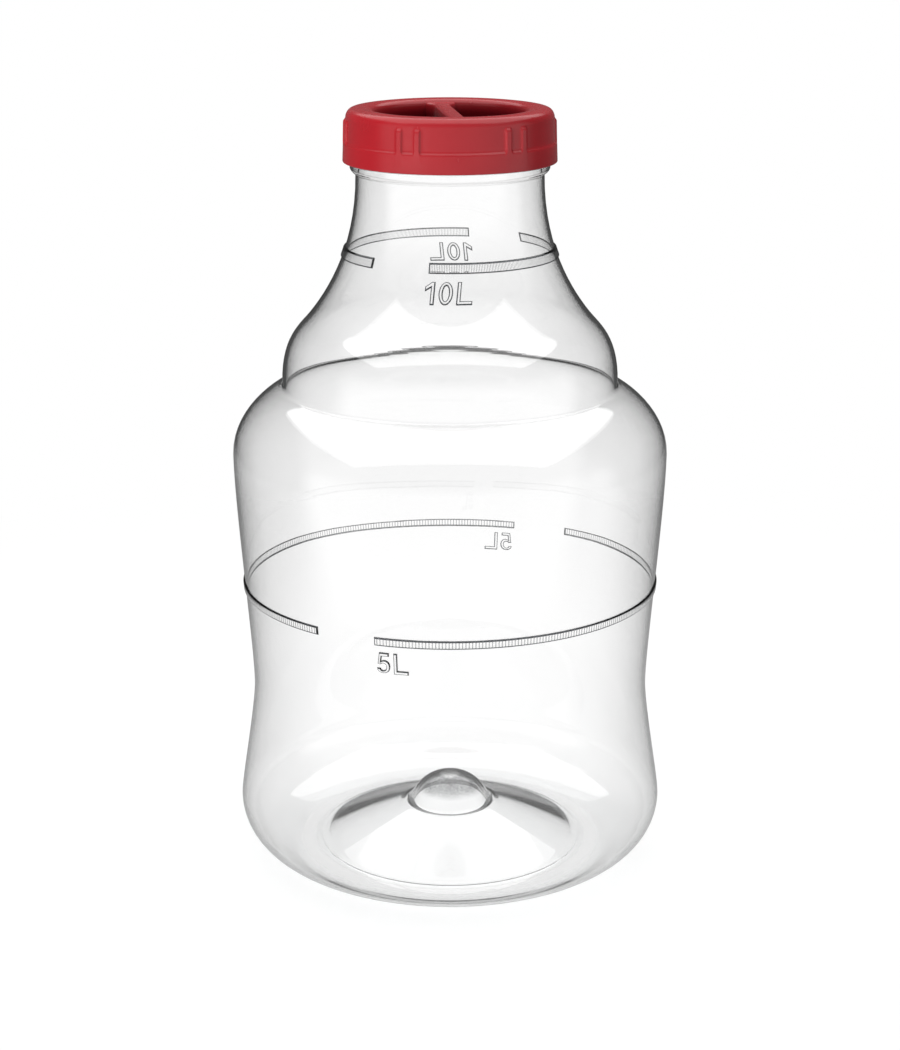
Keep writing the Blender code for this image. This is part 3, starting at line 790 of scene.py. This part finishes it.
def cap_outline(size):
    """Cap from the middle of its recess floor, over the top, down the skirt and back underneath."""
    plate_top = CAP_TOP - PLATE_CROWN
    plate_underside = plate_top - PLATE_THICKNESS
    cup_underside = RECESS_FLOOR - CUP_WALL
    lip_start = (size.recess, plate_top - LIP_ROUNDING)
    lip_end = (size.recess + LIP_ROUNDING, plate_top)
    top_radius = size.skirt - SKIRT_DRAFT
    edge_start = (top_radius - TOP_ROUNDING_WIDTH, plate_top)
    edge_end = (top_radius, plate_top - TOP_ROUNDING_HEIGHT)
    points = [(radius, RECESS_FLOOR) for radius in (0.0, size.recess / 2, size.recess - CUP_FILLET)]
    points += soft_corner(points[-1], (size.recess, RECESS_FLOOR), (size.recess, RECESS_FLOOR + CUP_FILLET))
    points.append(lip_start)
    points += soft_corner(lip_start, (size.recess, plate_top), lip_end)
    crown = ((lip_end[0] + edge_start[0]) / 2, CAP_TOP + PLATE_CROWN / 3)
    points += curve(lip_end, crown, crown, edge_start, CORNER_STEPS)
    points += soft_corner(edge_start, (top_radius, plate_top), edge_end, CURVE_STEPS)

    band_radius = size.skirt + CAP_BAND_PROUD
    step_top = (size.skirt, CAP_BOTTOM + CAP_BAND_HEIGHT + CAP_BAND_STEP)
    step_foot = (band_radius - SKIRT_DRAFT, CAP_BOTTOM + CAP_BAND_HEIGHT - CAP_BAND_STEP)
    across, down = step_top[0] - edge_end[0], step_top[1] - edge_end[1]
    for row in range(1, SKIRT_ROWS + 1):
        share = row / SKIRT_ROWS
        points.append((edge_end[0] + across * share, edge_end[1] + down * share))
    top_handle = (step_top[0], step_top[1] - CAP_BAND_STEP)
    foot_handle = (step_foot[0], step_foot[1] + CAP_BAND_STEP)
    points += curve(step_top, top_handle, foot_handle, step_foot, CORNER_STEPS)
    points.append((band_radius, CAP_BOTTOM + SKIRT_CHAMFER))
    foot = (band_radius - SKIRT_CHAMFER, CAP_BOTTOM)
    points += soft_corner(points[-1], (band_radius, CAP_BOTTOM), foot, FINE_STEPS)
    points.append((size.skirt_inner + SKIRT_CHAMFER, CAP_BOTTOM))
    points.append((size.skirt_inner, CAP_BOTTOM + SKIRT_CHAMFER))
    points += [(size.skirt_inner, plate_underside), (size.cup, plate_underside)]
    points.append((size.cup, cup_underside + CUP_FILLET + CUP_WALL))
    cup_foot = (size.cup - CUP_FILLET - CUP_WALL, cup_underside)
    points += soft_corner(points[-1], (size.cup, cup_underside), cup_foot)
    points.append((0.0, cup_underside))
    return points


def rib_angles():
    """Middle of each grip rib, in degrees."""
    for pair in range(RIB_PAIRS):
        middle = (pair + 0.5) * FULL_TURN / RIB_PAIRS + CAP_TURN
        yield middle - RIB_HALF_SPACING
        yield middle + RIB_HALF_SPACING


def ease(share):
    """A smooth change from 0 to 1."""
    share = min(max(share, 0.0), 1.0)
    return share * share * (3.0 - 2.0 * share)


def spun_cap(outline, rib_reach):
    """Turn the cap's outline with fine columns at the ribs and wide ones between them."""
    bm = bmesh.new()
    corners = [bm.verts.new((0.0, -radius, height)) for radius, height in outline]
    geom = corners + [bm.edges.new(pair) for pair in zip(corners, corners[1:])]
    stops = []
    for middle in rib_angles():
        stops += [middle - rib_reach, middle + rib_reach]
    start = stops[0]
    turn = Matrix.Rotation(math.radians(start), 3, "Z")
    bmesh.ops.rotate(bm, verts=corners, matrix=turn)
    stops = sorted(stop - start for stop in stops) + [FULL_TURN]
    for index, (low, high) in enumerate(zip(stops, stops[1:])):
        column = RIB_COLUMN if index % 2 == 0 else PLAIN_COLUMN
        steps = max(round((high - low) / column), 1)
        swept = bmesh.ops.spin(bm, geom=geom, axis=UP, angle=math.radians(high - low), steps=steps)
        geom = swept["geom_last"]
    bmesh.ops.remove_doubles(bm, verts=bm.verts, dist=WIDE_MERGE_DISTANCE)
    bmesh.ops.recalc_face_normals(bm, faces=bm.faces)
    return bm


def raise_ribs(bm, size, rib_width):
    """Swell the skirt's wall into the grip ribs, soft at their edges and round at their tops."""
    foot = CAP_BOTTOM + CAP_BAND_HEIGHT
    top = foot + RIB_HEIGHT
    middles = list(rib_angles())
    for vert in bm.verts:
        radius = math.hypot(vert.co.x, vert.co.y)
        if radius < (size.skirt_inner + size.skirt) / 2 or vert.co.z < foot - CAP_BAND_STEP:
            continue
        angle = angle_of(vert.co)
        apart = min(abs((angle - middle + HALF_TURN) % FULL_TURN - HALF_TURN) for middle in middles)
        side = math.radians(apart) * radius
        across = ease((rib_width / 2 + RIB_FILLET / 2 - side) / RIB_FILLET)
        along = ease((top - vert.co.z) / (RIB_FILLET * 2))
        room = max(size.skirt + RIB_PROUD - radius, 0.0)
        push_out([vert], min(RIB_PROUD * across * along, room))


def add_bar(bm, size, bar_width):
    """Shape the cross bar in an empty bmesh: wider at its foot and where it runs into the recess wall."""
    half_length = size.recess + CUP_WALL / 2
    foot = RECESS_FLOOR - CUP_WALL / 2
    top = CAP_TOP - BAR_DROP
    made = bmesh.ops.create_cube(bm, size=1.0)
    for vert in made["verts"]:
        vert.co = (vert.co.x * bar_width, vert.co.y * 2 * half_length, top if vert.co.z > 0.0 else foot)
    long_edges = [edge for edge in bm.edges if abs(edge.verts[0].co.y - edge.verts[1].co.y) > half_length]
    bmesh.ops.subdivide_edges(bm, edges=long_edges, cuts=BAR_CUTS, use_grid_fill=True)
    rims = [
        edge for edge in bm.edges
        if min(edge.verts[0].co.z, edge.verts[1].co.z) > top - MERGE_DISTANCE
        and abs(edge.verts[0].co.x - edge.verts[1].co.x) < MERGE_DISTANCE
    ]
    bm.normal_update()
    bmesh.ops.bevel(
        bm, geom=rims, offset=BAR_ROUNDING, segments=BAR_STEPS, affect="EDGES", profile=0.5, material=-1)
    for vert in bm.verts:
        height = (top - vert.co.z) / (top - foot)
        end = ease((abs(vert.co.y) - (half_length - BAR_FLARE_LENGTH)) / BAR_FLARE_LENGTH)
        reach = BAR_WIDENING / 2 * height + BAR_FLARE * end * end
        vert.co.x += math.copysign(reach, vert.co.x) if abs(vert.co.x) > MERGE_DISTANCE else 0.0


def bar_hollow(bm, size, bar_width):
    """Shape the slot that cores the bar from underneath."""
    low, high = RECESS_FLOOR - CUP_WALL * 2, CAP_TOP - BAR_DROP - BAR_WALL
    made = bmesh.ops.create_cube(bm, size=1.0)
    for vert in made["verts"]:
        vert.co.x *= bar_width - 2 * BAR_WALL
        vert.co.y *= 2 * (size.recess - CUP_WALL)
        vert.co.z = high if vert.co.z > 0.0 else low


def build_cap(vessel, cap):
    """The moulded cap with its ribs, hand recess, cored cross bar and inner thread, as one closed solid."""
    size = NeckSizes(vessel)
    rib_reach = math.degrees((cap.rib_width + RIB_FILLET) / 2 / size.skirt)
    bm = spun_cap(cap_outline(size), rib_reach)
    raise_ribs(bm, size, cap.rib_width)
    piece = as_object("moulded_cap", bm)
    turn = Matrix.Rotation(math.radians(CAP_TURN), 3, "Z")

    added = bmesh.new()
    add_bar(added, size, cap.bar_width)
    bmesh.ops.rotate(added, verts=added.verts, matrix=turn)
    below = THREAD_ROOT_HALF + THREAD_CREST_HALF + THREAD_FLANK_GAP
    crest = size.finish + CAP_THREAD_CLEARANCE
    thread_ridges(added, size.skirt_inner, crest, THREAD_HEIGHT - below)
    bmesh.ops.recalc_face_normals(added, faces=added.faces)
    combined(piece, as_object("bar_and_thread", added), "UNION")

    hollow = bmesh.new()
    bar_hollow(hollow, size, cap.bar_width)
    bmesh.ops.rotate(hollow, verts=hollow.verts, matrix=turn)
    return combined(piece, as_object("bar_hollow", hollow), "DIFFERENCE")


def add_node(tree, kind, inputs=None, **settings):
    """Add a shader node with its settings, and give each input a value or a link.

    A link comes from another node's output, or from its first one where the node itself is given.
    """
    node = tree.nodes.new("ShaderNode" + kind)
    for name, value in settings.items():
        setattr(node, name, value)
    for name, value in (inputs or {}).items():
        if isinstance(value, bpy.types.Node):
            value = value.outputs[0]
        if isinstance(value, bpy.types.NodeSocket):
            tree.links.new(value, node.inputs[name])
        else:
            node.inputs[name].default_value = value
    return node


def new_material(name):
    """Make a material with an empty node tree."""
    material = bpy.data.materials.new(name)
    material.use_nodes = True
    material.node_tree.nodes.clear()
    return material, material.node_tree


def distance_out(tree, place):
    """Distance of each point from the Z axis."""
    flat = add_node(tree, "VectorMath", {0: place, 1: (1.0, 1.0, 0.0)}, operation="MULTIPLY")
    return add_node(tree, "VectorMath", {0: flat}, operation="LENGTH").outputs["Value"]


def base_shade(tree, place, facing):
    """How much painted shade the base gets at each point.

    The dome gets a mottled painted shade near its top, which stands for the reflections inside it, and stays
    clear at the gate. The push-up gets painted shade where the eye meets it at a slant, which stands for the
    light that is reflected inside its heavy wall there.
    """
    crown = PUSH_UP_TOP + DOME_RISE
    level = add_node(tree, "SeparateXYZ", {0: place}).outputs["Z"]
    away = distance_out(tree, place)
    dome = add_node(tree, "MapRange", {
        "Value": level, "From Min": crown - DOME_SHADE_LOW, "From Max": crown - DOME_SHADE_HIGH,
        "To Max": DOME_SHADE}, **SMOOTH)
    ringed = add_node(tree, "MapRange", {
        "Value": away, "From Min": GATE_RADIUS, "From Max": GATE_RADIUS + GATE_EDGE}, **SMOOTH)
    within = add_node(tree, "Math", {0: away, 1: DOME_RADIUS + DOME_SIDE_WALL}, operation="LESS_THAN")
    # Spots in the dome's painted shade, standing for the speckled reflections inside it
    spots = add_node(tree, "TexNoise", {"Vector": place, "Scale": 1 / MOTTLE_SIZE, "Detail": 2.0})
    mottle = add_node(tree, "MapRange", {"Value": spots, "From Min": 0.35, "From Max": 0.65, "To Min": 0.6})
    # Painted shade of the push-up where it is seen at a slant
    painted_base_shade = add_node(tree, "MapRange", {
        "Value": facing, "From Min": PUSH_UP_FACING[0], "From Max": PUSH_UP_FACING[1]}, **SMOOTH)
    low = add_node(tree, "Math", {0: level, 1: PUSH_UP_TOP + 2 * BASE_WALL}, operation="LESS_THAN")
    inside = add_node(tree, "Math", {0: away, 1: LIP_RADIUS}, operation="LESS_THAN")
    for factor in (ringed, within, mottle):
        dome = add_node(tree, "Math", {0: dome, 1: factor}, operation="MULTIPLY")
    for factor in (low, inside):
        painted_base_shade = add_node(tree, "Math", {0: painted_base_shade, 1: factor}, operation="MULTIPLY")
    return add_node(tree, "Math", {0: dome, 1: painted_base_shade}, operation="MAXIMUM")


def clear_pet(vessel):
    """Blown PET: glassy and colourless, with the faint waves of a stretched wall.

    The plastic looks clear straight on. Where the eye meets the wall at a slant it gets a painted grey
    shade, which stands for the dark surroundings that the wall reflects at its edges.
    """
    material, tree = new_material("clear_blown_pet")
    place = add_node(tree, "TexCoord").outputs["Object"]
    waves = add_node(tree, "TexNoise", {"Vector": place, "Scale": 1 / WAVE_SIZE, "Detail": 1.0})
    bump = add_node(tree, "Bump", {"Height": waves, "Strength": 0.05, "Distance": 0.001})
    haze = add_node(tree, "TexNoise", {"Vector": place, "Scale": 1 / HAZE_SIZE, "Detail": 3.0})
    rough = add_node(tree, "MapRange", {"Value": haze, "From Min": 0.4, "From Max": 0.8, "To Max": 0.015})
    slant = add_node(tree, "LayerWeight", {"Blend": 0.5}).outputs["Facing"]
    # Share of the painted edge shade, which grows where the wall is seen at a slant
    depth = add_node(tree, "MapRange", {"Value": slant, "From Min": 0.8}, **SMOOTH)
    sides = add_node(tree, "Attribute", attribute_name=MARK_SIDE).outputs["Fac"]
    fronts = add_node(tree, "Attribute", attribute_name=BAND_FACE).outputs["Fac"]
    apart = add_node(tree, "SeparateXYZ", {0: place})
    turn = add_node(tree, "Math", {0: apart.outputs["X"], 1: apart.outputs["Y"]}, operation="ARCTAN2")
    turn = add_node(tree, "Math", {0: turn, 1: BAND_TICKS}, operation="MULTIPLY")
    ticks = add_node(tree, "Math", {0: turn}, operation="SINE")
    ticks = add_node(tree, "MapRange", {"Value": ticks, "To Max": TICK_SHARE})
    # Painted shade on the sides of bands and figures, plus the ticks on the band fronts
    marks = add_node(tree, "Math", {0: fronts, 1: ticks, 2: sides}, operation="MULTIPLY_ADD")
    base = base_shade(tree, place, slant)
    tint = (*vessel.clear, 1.0)
    for share, shade in ((depth, vessel.edge), (base, vessel.painted_base_shade), (marks, vessel.mark)):
        tint = add_node(tree, "Mix", {
            "Factor": share, COLOUR_A: tint, COLOUR_B: (*shade, 1.0)}, data_type="RGBA").outputs[MIXED]
    plastic = add_node(tree, "BsdfPrincipled", {
        "Base Color": tint, "Roughness": rough, "IOR": 1.575, "Transmission Weight": 1.0, "Normal": bump})
    lamp_rays = add_node(tree, "LightPath").outputs["Is Shadow Ray"]
    through = add_node(tree, "BsdfTransparent", {"Color": LIGHT_THROUGH})
    both = add_node(tree, "MixShader", {"Fac": lamp_rays, 1: plastic, 2: through})
    add_node(tree, "OutputMaterial", {"Surface": both})
    return material


def moulded_red(size, cap):
    """Injection-moulded polypropylene, dyed through: satin, with fine texture and faint flow marks.

    Down in the hand recess it gets a painted shade of deeper red and less gloss, and a faint bloom lightens
    it where it is seen at a slant.
    """
    material, tree = new_material("moulded_red_polypropylene")
    place = add_node(tree, "TexCoord").outputs["Object"]
    flow = add_node(tree, "TexNoise", {"Vector": place, "Scale": 1 / FLOW_SIZE, "Detail": 4.0})
    rough = add_node(tree, "MapRange", {
        "Value": flow, "From Min": 0.3, "From Max": 0.7, "To Min": 0.22, "To Max": 0.28})
    grain = add_node(tree, "TexNoise", {"Vector": place, "Scale": 1 / GRAIN_SIZE, "Detail": 2.0})
    bump = add_node(tree, "Bump", {"Height": grain, "Strength": 0.08, "Distance": 0.0001})
    level = add_node(tree, "SeparateXYZ", {0: place}).outputs["Z"]
    inside = add_node(tree, "Math", {0: distance_out(tree, place), 1: size.cup}, operation="LESS_THAN")
    # Share of the painted shade in the hand recess, which grows with depth inside the cup
    sunk = add_node(tree, "MapRange", {
        "Value": level, "From Min": CAP_TOP - RECESS_DEPTH / 2, "From Max": CAP_TOP - BAR_DROP / 2,
        "To Min": inside, "To Max": 0.0}, **SMOOTH)
    # Less gloss down in the recess, which paints its shade darker still
    shine = add_node(tree, "MapRange", {"Value": sunk, "To Min": 0.5, "To Max": 0.1})
    tone = (*cap.red, 1.0)
    for share, shade in ((flow, cap.deep_red), (sunk, cap.painted_recess_shade)):
        tone = add_node(tree, "Mix", {
            "Factor": share, COLOUR_A: tone, COLOUR_B: (*shade, 1.0)}, data_type="RGBA").outputs[MIXED]
    plastic = add_node(tree, "BsdfPrincipled", {
        "Base Color": tone, "Roughness": rough, "IOR": 1.49, "Specular IOR Level": shine,
        "Sheen Weight": 0.05, "Sheen Roughness": 0.4, "Normal": bump})
    add_node(tree, "OutputMaterial", {"Surface": plastic})
    return material


def foam_seal(cap):
    """Pressed EVA foam: matt and off-white, with fine closed cells."""
    material, tree = new_material("pressed_eva_foam")
    place = add_node(tree, "TexCoord").outputs["Object"]
    cells = add_node(tree, "TexVoronoi", {"Vector": place, "Scale": 1 / CELL_SIZE})
    bump = add_node(tree, "Bump", {"Height": cells, "Strength": 0.25, "Distance": 0.0001})
    shade = add_node(tree, "MapRange", {"Value": cells, "To Min": 0.93})
    tone = add_node(tree, "Mix", {
        "Factor": 1.0, COLOUR_A: (*cap.seal, 1.0), COLOUR_B: shade}, data_type="RGBA", blend_type="MULTIPLY")
    foam = add_node(tree, "BsdfPrincipled", {
        "Base Color": tone.outputs[MIXED], "Roughness": 0.75, "Normal": bump})
    add_node(tree, "OutputMaterial", {"Surface": foam})
    return material


def mirrored_level(tree, place, back_level):
    """What a path that has met a mirror sees at a place: light in front of the object, dark behind it."""
    mirrors = add_node(tree, "LightPath").outputs["Glossy Depth"]
    mirrored = add_node(tree, "Math", {0: mirrors, 1: BOUNCED}, operation="GREATER_THAN")
    apart = add_node(tree, "SeparateXYZ", {0: place})
    depth = add_node(tree, "Math", {
        0: apart.outputs["X"], 1: -MIRROR_TILT, 2: apart.outputs["Y"]}, operation="MULTIPLY_ADD")
    shade = add_node(tree, "MapRange", {
        "Value": depth, "From Min": MIRROR_FRONT, "From Max": MIRROR_BACK,
        "To Min": MIRROR_FRONT_LEVEL, "To Max": back_level}, **SMOOTH)
    return add_node(tree, "Mix", {0: mirrored, NUMBER_A: 1.0, NUMBER_B: shade})


def floor_material(stage):
    """Plain pale board: white to the eye, with the object's soft shadow near it."""
    material, tree = new_material("pale_board")
    bounces = add_node(tree, "LightPath").outputs["Diffuse Depth"]
    seen = add_node(tree, "Math", {0: bounces, 1: BOUNCED}, operation="LESS_THAN")
    place = add_node(tree, "TexCoord").outputs["Object"]
    away = add_node(tree, "VectorMath", {0: place}, operation="LENGTH").outputs["Value"]
    shadow = add_node(tree, "MapRange", {
        "Value": away, "From Min": SHADOW_START, "From Max": stage.floor_radius * SHADOW_END_SHARE,
        "To Min": SHADOW_SHARE, "To Max": 0.0}, **SMOOTH)
    kept = add_node(tree, "Mix", {0: seen, NUMBER_A: FLOOR_BOUNCE, NUMBER_B: shadow})
    board = add_node(tree, "Mix", {
        "Factor": kept, COLOUR_A: BLACK, COLOUR_B: (*stage.floor_colour, 1.0)}, data_type="RGBA")
    lit = add_node(tree, "BsdfDiffuse", {"Color": board.outputs[MIXED]})
    level = add_node(tree, "Math", {0: shadow, 1: -FLOOR_LEVEL, 2: 1.0}, operation="MULTIPLY_ADD")
    for factor in (seen, mirrored_level(tree, place, MIRROR_FLOOR_LEVEL)):
        level = add_node(tree, "Math", {0: level, 1: factor}, operation="MULTIPLY")
    white = add_node(tree, "Emission", {"Strength": level})
    add_node(tree, "OutputMaterial", {"Surface": add_node(tree, "AddShader", {0: lit, 1: white})})
    material.cycles.emission_sampling = "NONE"
    return material


def area_lamp(name, place, aim, width, depth, level):
    """Add a rectangular lamp whose face is as bright as a white card at the given level."""
    light = bpy.data.lights.new(name, "AREA")
    light.shape = "RECTANGLE"
    light.size = width
    light.size_y = depth
    light.energy = level * math.pi * width * depth
    lamp = bpy.data.objects.new(name, light)
    lamp.location = place
    lamp.rotation_euler = (Vector(aim) - Vector(place)).to_track_quat("-Z", "Y").to_euler()
    bpy.context.scene.collection.objects.link(lamp)
    return lamp


def build_world():
    """White to the camera, and for all else white at the horizon and grey overhead."""
    world = bpy.data.worlds.new("studio")
    bpy.context.scene.world = world
    world.use_nodes = True
    tree = world.node_tree
    tree.nodes.clear()
    towards = add_node(tree, "TexCoord").outputs["Generated"]
    rise = add_node(tree, "SeparateXYZ", {0: towards}).outputs["Z"]
    sky = add_node(tree, "MapRange", {
        "Value": rise, "From Min": SKY_LOW, "From Max": SKY_HIGH,
        "To Min": 1.0, "To Max": SKY_LEVEL}, **SMOOTH)
    shown = add_node(tree, "Math", {
        0: sky, 1: mirrored_level(tree, towards, MIRROR_ROOM_LEVEL)}, operation="MULTIPLY")
    path = add_node(tree, "LightPath")
    bounces = path.outputs["Diffuse Depth"]
    bounced = add_node(tree, "Math", {0: bounces, 1: BOUNCED}, operation="GREATER_THAN")
    room = add_node(tree, "Mix", {0: bounced, NUMBER_A: shown, NUMBER_B: ROOM_LEVEL})
    level = add_node(tree, "Math", {0: room, 1: path.outputs["Is Camera Ray"]}, operation="MAXIMUM")
    light = add_node(tree, "Background", {"Color": WHITE, "Strength": level})
    add_node(tree, "OutputWorld", {"Surface": light})


def build_stage(stage):
    """Floor, lamps, world and the camera."""
    bm = bmesh.new()
    bmesh.ops.create_circle(bm, cap_ends=True, segments=FLOOR_STEPS, radius=stage.floor_radius)
    floor = as_object("floor", bm)
    floor.data.materials.append(floor_material(stage))

    over, under = (0.0, PANEL_BACK, stage.panel_height), (0.0, PANEL_BACK, 0.0)
    area_lamp("panel", over, under, stage.panel_width, stage.panel_depth, stage.panel_level)
    fill = area_lamp("fill", FILL_PLACE, FILL_AIM, FILL_WIDTH, FILL_DEPTH, FILL_LEVEL)
    fill.visible_glossy = False
    fill.visible_transmission = False

    photo = bpy.data.cameras.new("photo_camera")
    photo.sensor_width = SENSOR_WIDTH
    photo.lens = CAMERA_FOCAL_PIXELS / PHOTO_LONG_SIDE * SENSOR_WIDTH
    camera = bpy.data.objects.new("photo_camera", photo)
    camera.location = (0.0, -CAMERA_DISTANCE, CAMERA_HEIGHT)
    camera.rotation_euler = (math.radians(FULL_TURN / 4 - CAMERA_PITCH), 0.0, 0.0)
    bpy.context.scene.collection.objects.link(camera)
    bpy.context.scene.camera = camera
    build_world()
    bpy.context.scene.view_settings.view_transform = "Standard"


class DEMIJOHN_OT_vessel(bpy.types.Operator):
    """Make the clear blown vessel"""

    bl_idname = "demijohn.vessel"
    bl_label = "Blown vessel"

    def execute(self, context):
        vessel = context.scene.demijohn_vessel
        finished(build_vessel(vessel), clear_pet(vessel), "vessel", "vessel")
        return {"FINISHED"}


class DEMIJOHN_OT_seal(bpy.types.Operator):
    """Make the ring seal under the cap"""

    bl_idname = "demijohn.seal"
    bl_label = "Ring seal"

    def execute(self, context):
        vessel, cap = context.scene.demijohn_vessel, context.scene.demijohn_cap
        finished(build_seal(vessel), foam_seal(cap), "seal", "cap_seal")
        return {"FINISHED"}


class DEMIJOHN_OT_cap(bpy.types.Operator):
    """Make the moulded screw cap"""

    bl_idname = "demijohn.cap"
    bl_label = "Screw cap"

    def execute(self, context):
        vessel, cap = context.scene.demijohn_vessel, context.scene.demijohn_cap
        piece = build_cap(vessel, cap)
        finished(piece, moulded_red(NeckSizes(vessel), cap), "cap", "screw_cap")
        return {"FINISHED"}


class DEMIJOHN_OT_stage(bpy.types.Operator):
    """Make the floor, the light and the camera"""

    bl_idname = "demijohn.stage"
    bl_label = "Studio"

    def execute(self, context):
        build_stage(context.scene.demijohn_stage)
        return {"FINISHED"}


class DEMIJOHN_PT_panel(bpy.types.Panel):
    """Lists the demijohn's pieces and their settings"""

    bl_idname = "DEMIJOHN_PT_panel"
    bl_label = "Demijohn"
    bl_space_type = "VIEW_3D"
    bl_region_type = "UI"
    bl_category = "Demijohn"

    def draw(self, context):
        for settings, operators in (
            ("demijohn_vessel", ("demijohn.vessel",)),
            ("demijohn_cap", ("demijohn.seal", "demijohn.cap")),
            ("demijohn_stage", ("demijohn.stage",)),
        ):
            box = self.layout.box()
            group = getattr(context.scene, settings)
            for name in group.__annotations__:
                box.prop(group, name)
            for operator in operators:
                box.operator(operator)


CLASSES = (
    DEMIJOHN_PG_vessel,
    DEMIJOHN_PG_cap,
    DEMIJOHN_PG_stage,
    DEMIJOHN_OT_vessel,
    DEMIJOHN_OT_seal,
    DEMIJOHN_OT_cap,
    DEMIJOHN_OT_stage,
    DEMIJOHN_PT_panel,
)


def register():
    """Add the classes and their settings to Blender."""
    for item in CLASSES:
        bpy.utils.register_class(item)
    bpy.types.Scene.demijohn_vessel = PointerProperty(type=DEMIJOHN_PG_vessel)
    bpy.types.Scene.demijohn_cap = PointerProperty(type=DEMIJOHN_PG_cap)
    bpy.types.Scene.demijohn_stage = PointerProperty(type=DEMIJOHN_PG_stage)


def unregister():
    """Take the classes and their settings out of Blender again."""
    for name in ("demijohn_stage", "demijohn_cap", "demijohn_vessel"):
        delattr(bpy.types.Scene, name)
    for item in reversed(CLASSES):
        bpy.utils.unregister_class(item)


def main():
    """Make every piece and the studio."""
    register()
    bpy.ops.demijohn.vessel()
    bpy.ops.demijohn.seal()
    bpy.ops.demijohn.cap()
    bpy.ops.demijohn.stage()


if __name__ == "__main__":
    main()
